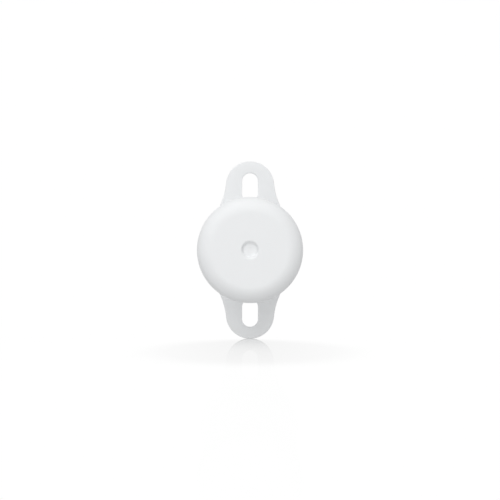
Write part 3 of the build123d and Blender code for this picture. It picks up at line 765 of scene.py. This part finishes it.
def carrier_screws(surface, low, high, sizes):
    """Two screws. The head is a round with a six-sided socket: a socket point lies at the flat's distance
    over the cosine of the angle from the flat's middle. The thread's radius falls and rises as a cosine
    wave once a pitch, and the wave moves on by a pitch in each turn round the shank."""
    height, top, tip = (low[2] + high[2]) / 2, low[1], high[1]
    head, neck, shank, point = high[2] - height, 0.8 * MM, 0.75 * MM, 0.35 * MM
    edge, ease, socket_floor = 0.25 * MM, 0.04 * MM, top + 0.4 * MM
    socket_corner, taper, thread_start = 0.6 * MM, 0.3 * MM, 0.8 * MM
    turn = full_turn(sizes.steps)
    flat = socket_corner * math.cos(math.pi / 6)
    socket = flat / np.cos(np.mod(turn, math.pi / 3) - math.pi / 6)
    along = np.linspace(SCREW_SEAT, tip - taper, 60)
    wave = 0.5 - 0.5 * np.cos(2 * math.pi * along[:, None] / sizes.pitch - turn)
    growth = np.clip((along[:, None] - SCREW_SEAT) / thread_start, 0, 1)
    rows = [
        (0, socket_floor),
        (socket * 0.96, socket_floor),
        (socket, socket_floor - ease),
        (socket, top + ease),
        (socket + ease, top),
        *arc((head - edge, top + edge), edge, -UPRIGHT, 0, 6),
        (head, SCREW_SEAT),
        (neck, SCREW_SEAT),
        *zip(shank - sizes.thread * wave * growth, along),
        (point, tip),
        (0, tip),
    ]
    radius = np.array([row[0] + 0 * turn for row in rows])
    level = np.array([row[1] for row in rows])[:, None]
    for place in (low[0] + head, high[0] - head):
        surface.spin(radius, level, turn, (place, height))


class SENSOR_OT_trough(Operator):
    """Builds the trough that carries the board and the cell, and its two screws"""

    bl_idname = "sensor.trough"
    bl_label = "Trough"

    def execute(self, context):
        sizes, look = context.scene.sensor_module, context.scene.sensor_colours
        grey = moulded("carrier_grey", look.carrier, 0.46, 2e-6)
        eased("carrier_trough", "carrier_frame", grey, sizes.edge)
        zinc = [metal("zinc_plated", (0.62, 0.65, 0.68), 0.3)]
        stand_in(
            carrier_screws, "carrier_screws", "carrier_screw_pair", zinc, "zinc_steel", sizes,
            smooth_angle=40,
        )
        return {"FINISHED"}


# Push switch


def switch_legs(material):
    """Four tinned legs: a flat section carried out of the switch's side, down and along the board."""
    low, high = box_of("switch_base")
    surface = Surface()
    thickness, inset, drop = 0.12 * MM, 0.45 * MM, 0.7 * MM
    section = strip(0.5 * MM, thickness) - [0, thickness / 2]
    foot, start = low[2] + thickness / 2, high[0] + 0.3 * MM
    reach = start + np.array([-0.5, 0.05, 0.1, 0.5]) * MM
    level = foot + np.array([drop, drop, 0.02 * MM, 0])
    for side in (-1, 1):
        for along in (low[1] + inset, high[1] - inset):
            surface.sweep(points(side * reach, along, level), (0, 1, 0), section)
    return surface.piece("switch_legs", [material])


def plunger(surface, low, high, sizes):
    """Switch plunger: a pin whose pressed end is a shallow dome, lower by the square of the radius."""
    radius, fall, shoulder = high[0], 0.12 * MM, 0.2 * MM
    out = np.linspace(0, radius * 0.92, 6)
    profile = join(
        points(out, high[1] - fall * (out / radius) ** 2),
        [(radius, high[1] - shoulder), (radius, low[1]), (0, low[1])],
    )
    surface.lathe(profile, full_turn(sizes.steps))


class SENSOR_OT_switch(Operator):
    """Builds the push switch: base, folded frame, legs and plunger"""

    bl_idname = "sensor.switch"
    bl_label = "Push switch"

    def execute(self, context):
        sizes = context.scene.sensor_module
        black = moulded("switch_black", (0.022, 0.022, 0.024), 0.48, 2e-6, 0.7)
        tinned = metal("switch_tin", (0.78, 0.77, 0.74), 0.28, (1, 1, 0.15))
        eased("switch_block", "switch_base", black, 0.6 * sizes.edge)
        eased("switch_shell", "switch_frame", tinned, 0.6 * sizes.edge)
        settle(switch_legs(tinned), "module")
        stand_in(plunger, "switch_plunger", "switch_pin", [black], "black_plastic", sizes, body="button")
        return {"FINISHED"}


# Circuit board. Places on it are given in millimetres as (x, depth).


TRACKS = [
    [(-5.0, 6.4), (-5.0, 9.6), (-4.7, 9.9), (-4.7, 11.2), (-4.5, 11.4)],
    [(-4.4, 6.4), (-4.4, 8.6), (-3.6, 9.4), (-3.6, 10.5)],
    [(-2.1, 8.6), (-2.1, 7.9), (-2.9, 7.1), (-2.9, 6.2)],
    [(-2.1, 9.8), (-2.1, 10.5)],
    [(-0.7, 9.8), (-0.7, 10.5)],
    [(0.7, 9.8), (0.7, 10.5)],
    [(2.1, 9.8), (2.1, 10.2), (2.6, 10.7)],
    [(0.7, 8.6), (0.7, 8.3), (3.4, 8.3), (4.0, 8.9), (4.0, 10.9), (4.45, 11.35)],
    [(5.2, 8.1), (5.2, 9.0), (4.2, 10.0), (3.4, 10.0), (3.2, 10.2), (1.8, 10.2)],
    [(1.3, 12.0), (2.0, 12.0)],
    [(1.3, 12.6), (2.0, 12.6)],
    [(1.3, 14.4), (2.2, 14.4)],
    [(3.0, 15.9), (3.0, 16.6), (1.7, 17.2)],
    [(3.8, 14.6), (4.3, 14.6), (4.45, 14.8)],
    [(3.5, 13.3), (3.5, 13.6)],
    [(4.45, 12.0), (4.45, 12.25)],
    [(4.45, 13.3), (4.45, 13.6)],
    [(4.45, 14.65), (4.45, 14.95)],
    [(4.45, 16.0), (4.45, 16.6), (3.9, 17.3), (1.7, 17.4)],
    [(-1.7, 17.2), (-3.6, 17.2), (-5.2, 15.6), (-5.2, 12.6), (-4.6, 12.0)],
    [(-4.1, 15.9), (-4.1, 16.4), (-2.2, 16.9)],
]
VIAS = [
    (-4.5, 11.4), (-2.9, 6.2), (1.8, 10.2), (5.4, 10.9), (5.4, 15.6), (2.0, 17.5), (-5.4, 14.0), (-4.6, 12.0)
]
FRAMES = [((-2.8, 4.75), (2.8, 8.55)), ((-4.75, 10.25), (1.55, 16.15)), ((1.75, 10.4), (4.05, 13.45))]
DOTS = [(-5.9, 6.6), (5.9, 12.4)]


def on_board(places):
    """Places on the board as (x, y) in metres."""
    return np.asarray(places, float) * MM * [1, -1]


def board_details(sizes, materials):
    """Tracks, plated holes, printed frames and dots on the board. Each track and frame is a flat strip
    carried along its corners, and each hole and dot a profile turned about its own middle."""
    level = box_of("circuit_board")[1][2]
    surface = Surface()
    for corners in TRACKS:
        surface.line(on_board(corners), level, sizes.track)
    ring = np.array([[0.1, 0.0], [0.1, 0.03], [0.24, 0.03], [0.26, 0.0]]) * MM
    for place in on_board(VIAS):
        surface.lathe(ring + [0, level], full_turn(16), place, "Z", close_rows=True, finish=1)
    for (left, front), (right, back) in FRAMES:
        loop = on_board([(left, front), (right, front), (right, back), (left, back)])
        surface.line(loop, level, width=0.1 * MM, closed=True, finish=2)
    dot = np.array([[0, 0.02], [0.16, 0.02], [0.16, 0], [0, 0]]) * MM
    for place in on_board(DOTS):
        surface.lathe(dot + [0, level], full_turn(20), place, "Z", finish=2)
    return surface.piece("board_tracks", materials)


def solder(surface, place, level, base, height, core):
    """Solder joint: a skirt that rises ever more steeply from its base to the wire, as an ellipse's arc."""
    turn = np.linspace(0, UPRIGHT, 8)
    skirt = points(base - (base - core) * np.sin(turn), level + height * (1 - np.cos(turn)))
    surface.lathe(join((0, level), skirt, (0, level + height)), full_turn(24), place, "Z")


def board_joints(material):
    """Solder where the reed switch's leads come through, and three joints along each side of the cell's
    tab."""
    level, tab_end = box_of("circuit_board")[1][2], box_of("positive_contact")[1][1]
    low, high = box_of("reed_leads")
    inset, height = 0.22 * MM, 0.3 * MM
    surface = Surface()
    for x in (low[0] + inset, high[0] - inset):
        place = (x, (low[1] + high[1]) / 2)
        solder(surface, place, level, base=0.55 * MM, height=height, core=0.2 * MM)
    for x in (-1.62, 1.62):
        for along in (0.3, 0.8, 1.3):
            place = (x * MM, tab_end - along * MM)
            solder(surface, place, level, base=0.3 * MM, height=height, core=0.1 * MM)
    return surface.piece("board_solder", [material])


class SENSOR_OT_board(Operator):
    """Builds the circuit board with its tracks, plated holes, printed outlines and solder"""

    bl_idname = "sensor.board"
    bl_label = "Circuit board"

    def execute(self, context):
        sizes, look = context.scene.sensor_module, context.scene.sensor_colours
        mask = laminate("board_green", look.mask)
        eased("board_blank", "circuit_board", mask, 0.4 * sizes.edge)
        tracks = principled("track_green", shade(look.mask, 1.5), IOR=1.52, Coat_Weight=0.3)
        worn(tracks, 0.3, 0.42, scale=900)
        grain(tracks, 4000, 1e-6)
        tinned = metal("pad_tin", (0.80, 0.79, 0.75), 0.3)
        ink = moulded("printed_white", (0.80, 0.80, 0.78), 0.6, 2e-6)
        settle(board_details(sizes, [tracks, tinned, ink]), "module")
        settle(board_joints(metal("solder_tin", (0.74, 0.75, 0.76), 0.22)), "module")
        return {"FINISHED"}


# Parts on the board. Where a part has several finishes, its body has the first and its metal the second.


def metal_ends(surface, low, high, reach, edge, steps=2):
    """Metal over the first and the last stretch of a part along Y."""
    for start, end in ((low[1], low[1] + reach), (high[1] - reach, high[1])):
        surface.block(*cut(low, high, 1, start, end), edge, steps, finish=1)


def chips(surface, row_low, row_high, terminal, axis, across, drop):
    """Four small parts in a row along an axis, each a body between two metal ends that stand a hair proud
    of it, with the body's top lower by a drop."""
    body_edge, end_edge = 0.04 * MM, 0.06 * MM
    proud = np.array([0.02, 0, 0.02]) * MM
    for first in np.linspace(row_low[axis], row_high[axis] - across, 4):
        low, high = cut(row_low, row_high, axis, first, first + across)
        body_low, body_high = cut(low, high, 1, low[1] + terminal / 2, high[1] - terminal / 2)
        surface.block(body_low + proud, body_high - proud - [0, 0, drop], body_edge)
        metal_ends(surface, low, high, terminal, end_edge)


def radio(surface, low, high):
    """Radio chip: a flat body with a row of small lead ends along each side."""
    edge, half_row, lead_reach = 0.03 * MM, 1.5 * MM, 2.0 * MM
    surface.block(low + np.array([0.01, 0.01, 0.02]) * MM, high, edge)
    foot = np.array([(low[0] + high[0]) / 2, (low[1] + high[1]) / 2, low[2] + 0.1 * MM])
    half = np.array([0.09, 0.09, 0.1]) * MM
    for step in np.linspace(-half_row, half_row, 8):
        for side in (-lead_reach, lead_reach):
            for place in (foot + [step, side, 0], foot + [side, step, 0]):
                surface.block(place - half, place + half, edge, 1, finish=1)


def shield(surface, low, high):
    """Shield can's lid: a pressed plate whose round dimples repeat on a square lattice. Its height falls
    smoothly inside each dimple's radius, measured to the nearest point of the lattice."""
    inset, drop, pitch, radius, slope = np.array([0.45, 0.1, 1.15, 0.16, 0.12]) * MM
    skirt_height, can_drop, can_edge = np.array([0.12, 0.06, 0.28]) * MM
    x = np.linspace(low[0] + inset, high[0] - inset, 90)
    y = np.linspace(low[1] + inset, high[1] - inset, 84)
    middle = (low + high) / 2
    near_x = np.mod(x - middle[0] + pitch / 2, pitch) - pitch / 2
    near_y = np.mod(y - middle[1], pitch) - pitch / 2
    away = np.hypot(near_x[:, None], near_y[None])
    level = high[2] - drop * (1 - np.clip((away - radius) / slope, 0, 1))
    plate = points(x[:, None], y, level)
    border = np.concatenate([plate[:, 0], plate[-1, 1:], plate[-2::-1, -1], plate[0, -2:0:-1]])
    skirt = border - [0, 0, skirt_height]
    surface.grid(plate, close_columns=False)
    surface.grid(np.stack([border, skirt, np.broadcast_to(skirt.mean(axis=0), skirt.shape)]))
    surface.block(low, high - [0, 0, can_drop], can_edge, 4)


def regulator(surface, low, high):
    """Voltage regulator: a moulded body and three bent legs. A leg's section is carried out of the body,
    down and along the board."""
    inset, lift, edge = np.array([0.3, 0.1, 0]) * MM, 0.08 * MM, 0.08 * MM
    surface.block(low + inset + [0, 0, lift], high - inset, edge)
    middle = (low + high) / 2
    reach = high[0] - middle[0] - np.array([0.5, 0.24, 0.16, 0]) * MM
    level = low[2] + np.array([0.45, 0.45, 0.02, 0.0]) * MM
    for side, along in ((-1, -0.65), (-1, 0.65), (1, 0.0)):
        path = points(middle[0] + side * reach, middle[1] + along * MM, level)
        surface.sweep(path, (0, side, 0), strip(0.36 * MM, 0.12 * MM), finish=1)


def antenna(surface, low, high):
    """Chip antenna: a ceramic block with metal ends and a metal line that runs to and fro over its top."""
    edge, end, side_gap, end_gap, sink = np.array([0.08, 0.5, 0.3, 0.55, 0.03]) * MM
    inset = np.array([0.02 * MM, 0.02 * MM, sink])
    surface.block(low + inset, high - inset, edge, 3)
    metal_ends(surface, low, high, end, edge, 3)
    left, right = low[0] + side_gap, high[0] - side_gap
    along = np.repeat(np.linspace(low[1] + end_gap, high[1] - end_gap, 7), 2)
    x = np.resize([left, right, right, left], len(along))
    surface.line(points(x, along), high[2] - sink, width=0.12 * MM, finish=1)


def light_part(surface, low, high):
    """Status light: a white body with metal feet, and a clear lens that bulges towards the light pipe, as
    an ellipse's arc."""
    pipe_low, pipe_high = box_of("light_pipe")
    pipe = (pipe_low + pipe_high) / 2
    body_drop, body_edge, foot_edge = np.array([0.32, 0.06, 0.05]) * MM
    foot_size = np.array([0.3, 0.7, 0.5]) * MM
    radius, bulge, base = 0.58 * MM, 0.4 * MM, high[1] - 0.45 * MM
    surface.block(low, high - [0, body_drop, 0], body_edge)
    for x in (low[0], high[0] - foot_size[0]):
        foot = np.array([x, low[1], low[2]])
        surface.block(foot, foot + foot_size, foot_edge, finish=1)
    turn = np.linspace(0, UPRIGHT, 10)
    lens = points(radius * np.cos(turn), high[1] - bulge + bulge * np.sin(turn))
    surface.lathe(join([(0, base), (radius, base)], lens), full_turn(32), pipe[[0, 2]], finish=2)


def timing_can(surface, low, high):
    """Crystal: a ceramic base and a metal lid with a seam step round it."""
    seam, gap, base_edge, lid_edge = np.array([0.3, 0.05, 0.1, 0.09]) * MM
    step = np.array([0.12, 0.12, 0]) * MM
    surface.block(low, high - [0, 0, seam], base_edge, 3)
    surface.block(low + step + [0, 0, seam + gap], high - step, lid_edge, 3, finish=1)


class SENSOR_OT_parts(Operator):
    """Builds the parts on the board"""

    bl_idname = "sensor.parts"
    bl_label = "Board parts"

    def execute(self, context):
        sizes = context.scene.sensor_module
        tin = metal("terminal_tin", (0.78, 0.78, 0.75), 0.3)
        shell = metal("shield_tin", (0.72, 0.73, 0.72), 0.26, (1, 0.12, 1))
        epoxy = moulded("chip_epoxy", (0.018, 0.018, 0.02), 0.55, 3e-6, 0.7)
        ceramic = moulded("ceramic_cream", (0.76, 0.75, 0.70), 0.5, 2e-6)
        tan = moulded("capacitor_body", (0.36, 0.25, 0.15), 0.45, 2e-6, 0.85)
        lens = clear("led_resin", (0.95, 0.93, 0.80), 0.15, 1.5)
        # Length of a part's metal ends, axis that the row runs along, width of a part, drop of its top.
        capacitors = (sizes.terminal, 0, 0.8 * MM, 0)
        resistors = (sizes.terminal, 1, 1.0 * MM, 0.04 * MM)
        stand_in(chips, "capacitors", "capacitor_row", [tan, tin], "capacitor_tan", *capacitors)
        stand_in(chips, "resistors", "resistor_row", [epoxy, tin], "chip_black", *resistors)
        stand_in(radio, "radio_chip", "radio_body", [epoxy, tin], "chip_black")
        stand_in(shield, "shield_can", "shield_lid", [shell], "tinned_steel", smooth_angle=50)
        stand_in(regulator, "voltage_regulator", "regulator_body", [epoxy, tin], "chip_black")
        stand_in(antenna, "chip_antenna", "antenna_block", [ceramic, tin], "ceramic_white")
        stand_in(light_part, "status_led", "status_light", [ceramic, tin, lens], "led_lens")
        stand_in(timing_can, "crystal", "crystal_can", [ceramic, shell], "tinned_steel")
        return {"FINISHED"}


# Reed switch


def reed_tube(surface, low, high, sizes):
    """Sealed glass tube: an outer and an inner skin that both close on the leads, turned about X. The inner
    skin's ends are an ellipse's arcs."""
    middle = (low + high) / 2
    radius, half = (high[2] - low[2]) / 2, high[0]
    wall, end, core, hollow, round_off = np.array([0.18, 0.6, 0.22, 1.1, 0.5]) * MM
    turn = np.linspace(0, UPRIGHT, 10)
    reach = core + (radius - wall - core) * np.sin(turn)
    curve = points(reach, half - hollow - round_off * (1 - np.cos(turn)))
    profile = join(
        (core, -half),
        arc((radius - end, end - half), end, -UPRIGHT, 0, 10),
        arc((radius - end, half - end), end, 0, UPRIGHT, 10),
        (core, half),
        curve,
        (curve * [1, -1])[::-1],
    )
    surface.lathe(profile, full_turn(sizes.steps), middle[1:], "X", close_rows=True)


def reed_wires(surface, low, high):
    """The two leads, and the flat blades that they become inside the glass, with a gap where they overlap.
    A lead runs along X, turns a quarter circle and goes up into the board."""
    glass_low, glass_high = box_of("reed_glass")
    radius = (high[1] - low[1]) / 2
    depth, level = (low[1] + high[1]) / 2, (glass_low[2] + glass_high[2]) / 2
    out, bend, lead_start, gap, thickness = high[0] - radius, 0.5 * MM, 1.9 * MM, 0.09 * MM, 0.12 * MM
    lead = join((lead_start, level), arc((out - bend, level + bend), bend, -UPRIGHT, 0, 10), (out, high[2]))
    for side in (-1, 1):
        path = points(side * lead[:, 0], depth, lead[:, 1])
        surface.sweep(path, (0, 1, 0), radius * directions(full_turn(16)))
        reach = np.array([2.0, 1.6, 1.2, -0.4]) * MM
        path = points(side * reach, depth, level + np.array([0, 0.3, 1, 1]) * side * gap)
        surface.sweep(path, (0, 1, 0), strip(0.8 * MM, thickness) - [0, thickness / 2])


class SENSOR_OT_reed(Operator):
    """Builds the reed switch under the board"""

    bl_idname = "sensor.reed"
    bl_label = "Reed switch"

    def execute(self, context):
        glass = [clear("reed_green", (0.80, 0.93, 0.86), 0.02, 1.5)]
        stand_in(reed_tube, "reed_glass", "reed_tube", glass, "reed_glass", context.scene.sensor_module)
        tinned = [metal("lead_tin", (0.76, 0.76, 0.73), 0.25)]
        stand_in(reed_wires, "reed_leads", "reed_wires", tinned, "tinned_steel")
        return {"FINISHED"}


# Cell and its contacts


def cell_wrap(surface, low, high, sizes):
    """Film round the cell: a closed profile with a lip drawn over each end, turned about the axis. Its outer
    side stands a little higher along the seam, by a bell curve of the angle, and its lips gather in two
    sets of small waves, 17 and 29 to the turn."""
    radius, wall, lip, shoulder = high[0], sizes.wrap, 1.1 * MM, 0.55 * MM
    front, back = high[1], low[1]
    front_edge, back_edge = (radius - shoulder, front - shoulder), (radius - shoulder, back + shoulder)
    opening, sink, inner_opening = radius - wall - lip, 0.03 * MM, radius - wall - lip + 0.02 * MM
    outer = join(
        (opening, front - sink),
        arc(front_edge, shoulder, UPRIGHT, 0, 8),
        np.linspace((radius, front - shoulder), (radius, back + shoulder), 11)[1:-1],
        arc(back_edge, shoulder, 0, -UPRIGHT, 8),
        (opening, back + sink),
    )
    profile = join(
        outer,
        (inner_opening, back + wall * 0.8),
        arc(back_edge, shoulder - wall, -UPRIGHT, 0, 6),
        arc(front_edge, shoulder - wall, 0, UPRIGHT, 6),
        (inner_opening, front - wall * 0.8),
    )
    turn = full_turn(3 * sizes.steps)
    relief, gather_width, seam_turn, seam_width = 0.05 * MM, 0.9 * MM, 1.9, 0.12
    gather = np.clip(1 - (profile[:, :1] - opening) / gather_width, 0, 1)
    ripple = relief * gather * (np.sin(17 * turn) + 0.6 * np.sin(29 * turn + 1))
    beside_seam = 1 - np.exp(-(((turn - seam_turn) / seam_width) ** 2))
    outside = np.arange(len(profile))[:, None] < len(outer)
    reach = profile[:, :1] + ripple - relief * beside_seam * outside
    surface.spin(reach, profile[:, 1:], turn, close_rows=True)


def cell_can(surface, low, high, sizes):
    """Cell's steel can: a cup with a rounded foot, turned about the axis. Its foot has a pressed ring, a
    bell curve of the radius, and a raised middle."""
    radius, wall, rim = high[0], 0.4 * MM, low[1] + 0.4 * MM
    corner, edge, foot = 0.3 * MM, 0.15 * MM, radius - 1.1 * MM
    press, ring, ring_width, middle = np.array([0.12, 4.3, 0.25, 2.4]) * MM
    face = np.linspace(foot - edge, 0, 40)
    relief = press * (np.exp(-(((face - ring) / ring_width) ** 2)) + (face < middle))
    profile = join(
        [(0, rim + wall), (radius - wall, rim + wall), (radius - wall, high[1]), (radius, high[1])],
        arc((radius - corner, rim + corner), corner, 0, -UPRIGHT, 6),
        (foot, rim),
        arc((foot - edge, low[1] + edge), edge, 0, -UPRIGHT, 6),
        points(face, low[1] + relief)[1:],
    )
    surface.lathe(profile, full_turn(2 * sizes.steps))


def cell_button(surface, low, high, sizes):
    """Cell's positive end: a pressed hat with a round shoulder, a slightly hollow top and four vents. A vent
    is a dip in the wall's radius, where four cosine waves round the turn come near their tops."""
    radius, top, edge, hollow, hollow_radius = high[0], high[1], 0.3 * MM, 0.05 * MM, 1.6 * MM
    vent_depth, vent_drop, vent_half = np.array([0.2, 0.75, 0.3]) * MM
    inner = np.linspace(0, radius - edge, 10)
    profile = join(
        points(inner, top - hollow * np.clip(1 - (inner / hollow_radius) ** 2, 0, 1)),
        arc((radius - edge, top - edge), edge, UPRIGHT, 0, 8)[1:],
        np.linspace((radius, top - edge), (radius, low[1]), 9)[1:],
        (0, low[1]),
    )
    reach, along = profile[:, :1], profile[:, 1:]
    turn = full_turn(2 * sizes.steps)
    level = np.clip(1 - np.abs((along - (top - vent_drop)) / vent_half) ** 4, 0, 1)
    vent_start, vent_ease = 0.8, 0.15
    vent = np.clip((np.cos(4 * turn) - vent_start) / vent_ease, 0, 1)
    surface.spin(reach - vent_depth * level * vent * (reach > 0.99 * radius), along, turn)


class SENSOR_OT_cell(Operator):
    """Builds the cell and the two contacts that hold it"""

    bl_idname = "sensor.cell"
    bl_label = "Cell and contacts"

    def execute(self, context):
        sizes, look = context.scene.sensor_module, context.scene.sensor_colours
        nickel = metal("sprung_nickel", (0.70, 0.66, 0.58), 0.24, (1, 1, 0.1))
        steel = metal("drawn_steel", (0.66, 0.65, 0.62), 0.2)
        paper = moulded("insulator_paper", (0.42, 0.40, 0.36), 0.75, 8e-6, 0.8)
        filling = moulded("cell_paste", (0.10, 0.09, 0.08), 0.8, 8e-6, 0.7)
        eased("positive_plate", "positive_contact", nickel, 0.8 * sizes.edge)
        eased("negative_leaf", "negative_contact", nickel, 0.8 * sizes.edge)
        eased("cell_ring", "battery_insulator", paper, 0.6 * sizes.edge)
        eased("cell_inside", "battery_core", filling, 0.6 * sizes.edge)
        green = [film("wrap_green", look.wrap)]
        stand_in(cell_wrap, "battery_wrap", "cell_film", green, "wrap_film", sizes)
        stand_in(cell_can, "battery_can", "cell_can", [steel], "can_steel", sizes)
        stand_in(cell_button, "battery_cap", "cell_button", [steel], "can_steel", sizes)
        return {"FINISHED"}


# Stage


def backdrop_finish(settings):
    """Even white light from the backdrop."""
    made = bare_material("surround_white")
    light = node(made, "ShaderNodeEmission", Strength=settings.surround)
    target = node(made, "ShaderNodeOutputMaterial")
    made.node_tree.links.new(light.outputs[0], target.inputs["Surface"])
    return made


def floor_finish(settings):
    """Pale floor. Its mirror image fades with the distance from the flange's plane, and its shadow is what
    the object hides of the room, inside a pool under the barrel."""
    made = bare_material("pale_floor")
    link = made.node_tree.links.new
    place = node(made, "ShaderNodeTexCoord")
    split = node(made, "ShaderNodeSeparateXYZ")
    link(place.outputs["Object"], split.inputs["Vector"])
    mirror_share = follow(made, maths(made, "ABSOLUTE", split.outputs["Y"]), FLOOR_MIRROR)
    middle = node(made, "ShaderNodeMapping", Location=(0, BARREL_LENGTH / 2, -SLEEVE_LOW.z))
    away = node(made, "ShaderNodeVectorMath", operation="LENGTH")
    link(place.outputs["Object"], middle.inputs["Vector"])
    link(middle.outputs["Vector"], away.inputs[0])
    pool = follow(made, away.outputs["Value"], FLOOR_POOL)
    bare = maths(made, "SUBTRACT", 1.0, mirror_share)
    room = node(made, "ShaderNodeAmbientOcclusion", samples=8, Distance=BARREL_LENGTH)
    hidden = maths(made, "SUBTRACT", 1.0, room.outputs["AO"])
    dimming = maths(made, "MULTIPLY", maths(made, "MULTIPLY", hidden, pool), settings.floor_shade)
    lit = maths(made, "SUBTRACT", 1.0, maths(made, "DIVIDE", dimming, bare))
    glow = node(made, "ShaderNodeEmission")
    mirror = node(made, "ShaderNodeBsdfGlossy", Color=(1, 1, 1, 1), Roughness=0.04)
    blend = node(made, "ShaderNodeMixShader")
    target = node(made, "ShaderNodeOutputMaterial")
    link(maths(made, "MULTIPLY", lit, settings.surround), glow.inputs["Strength"])
    link(mirror_share, blend.inputs[0])
    link(glow.outputs[0], blend.inputs[1])
    link(mirror.outputs[0], blend.inputs[2])
    link(blend.outputs[0], target.inputs["Surface"])
    return made


def soft_light(name, way, side, energy, settings):
    """Square soft light, seen from the barrel's middle in one direction and turned to face it."""
    data = bpy.data.lights.new(name, "AREA")
    data.shape = "SQUARE"
    data.size = side
    data.energy = energy
    made = bpy.data.objects.new(name, data)
    way = Vector(way).normalized()
    made.location = Vector((0, -BARREL_LENGTH / 2, 0)) + settings.light_distance * way
    made.rotation_euler = (-way).to_track_quat("-Z", "Y").to_euler()
    made.visible_camera = False
    bpy.context.scene.collection.objects.link(made)
    return made


def set_camera(scene, settings):
    """Level camera on the barrel's axis that looks along +Y at the closed end. Its frame is 36 mm wide, and
    it sees from a millimetre to ten metres away."""
    lens = bpy.data.cameras.new("camera")
    lens.lens = settings.lens
    lens.sensor_width = 36
    lens.clip_start = MM
    lens.clip_end = 10
    camera = bpy.data.objects.new("camera", lens)
    camera.location = (0, -settings.camera_distance, 0)
    camera.rotation_euler = (UPRIGHT, 0, 0)
    scene.collection.objects.link(camera)
    scene.camera = camera


class SENSOR_OT_stage(Operator):
    """Sets the floor, the pale backdrop, the soft lights and the camera. The floor and the backdrop
    neither light the sensor nor throw a shadow on it"""

    bl_idname = "sensor.stage"
    bl_label = "Stage"

    def execute(self, context):
        settings, scene = context.scene.sensor_stage, context.scene
        scene.view_settings.view_transform = "Standard"
        scene.world = bpy.data.worlds.new("soft_room")
        scene.world.use_nodes = True
        background = scene.world.node_tree.nodes["Background"]
        background.inputs["Color"].default_value = (1, 1, 1, 1)
        background.inputs["Strength"].default_value = settings.ambient
        flat = points(np.linspace(0, settings.reach**0.5, 13) ** 2, SLEEVE_LOW.z)
        ball = arc((0, 0), settings.reach, -UPRIGHT, UPRIGHT, 49)
        for name, profile, finish in (("floor", flat, floor_finish), ("backdrop", ball, backdrop_finish)):
            surface = Surface()
            surface.lathe(profile, full_turn(96), axis="Z")
            made = surface.piece(name, [finish(settings)])
            made.visible_diffuse = False
            made.visible_shadow = False
        side = settings.light_size
        soft_light("key_light", (-0.16, -0.59, 0.79), settings.key_size, settings.key_energy, settings)
        soft_light("front_light", (-0.1, -0.98, -0.05), side, settings.front_energy, settings)
        soft_light("bounce_light", (-0.2, -0.6, -0.8), side, settings.bounce_energy, settings)
        rear = soft_light("rear_light", (-0.12, 1, 0.16), side, settings.rear_energy, settings)
        rear.visible_glossy = False
        set_camera(scene, settings)
        return {"FINISHED"}


# Panel and making


class SENSOR_PT_panel(Panel):
    """Lists the sensor's pieces and the stage"""

    bl_label = "Door Sensor"
    bl_idname = "SENSOR_PT_panel"
    bl_space_type = "VIEW_3D"
    bl_region_type = "UI"
    bl_category = "Sensor"

    def draw(self, context):
        for operator in OPERATORS:
            self.layout.operator(operator.bl_idname)


SETTINGS = {
    "sensor_sleeve": SleeveSizes,
    "sensor_module": ModuleSizes,
    "sensor_colours": FinishColours,
    "sensor_stage": StageSettings,
}
OPERATORS = (
    SENSOR_OT_sleeve,
    SENSOR_OT_cap,
    SENSOR_OT_trough,
    SENSOR_OT_switch,
    SENSOR_OT_board,
    SENSOR_OT_parts,
    SENSOR_OT_reed,
    SENSOR_OT_cell,
    SENSOR_OT_stage,
)


def register():
    """Makes the classes and the scene's settings known."""
    for kind in (*SETTINGS.values(), *OPERATORS, SENSOR_PT_panel):
        bpy.utils.register_class(kind)
    for name, kind in SETTINGS.items():
        setattr(bpy.types.Scene, name, PointerProperty(type=kind))


def unregister():
    """Takes the classes and the settings out again."""
    for name in SETTINGS:
        delattr(bpy.types.Scene, name)
    for kind in (SENSOR_PT_panel, *reversed(OPERATORS), *SETTINGS.values()):
        bpy.utils.unregister_class(kind)


def main():
    """Builds every piece and the stage."""
    register()
    bpy.ops.sensor.sleeve()
    bpy.ops.sensor.cap()
    bpy.ops.sensor.trough()
    bpy.ops.sensor.switch()
    bpy.ops.sensor.board()
    bpy.ops.sensor.parts()
    bpy.ops.sensor.reed()
    bpy.ops.sensor.cell()
    bpy.ops.sensor.stage()


if __name__ == "__main__":
    main()
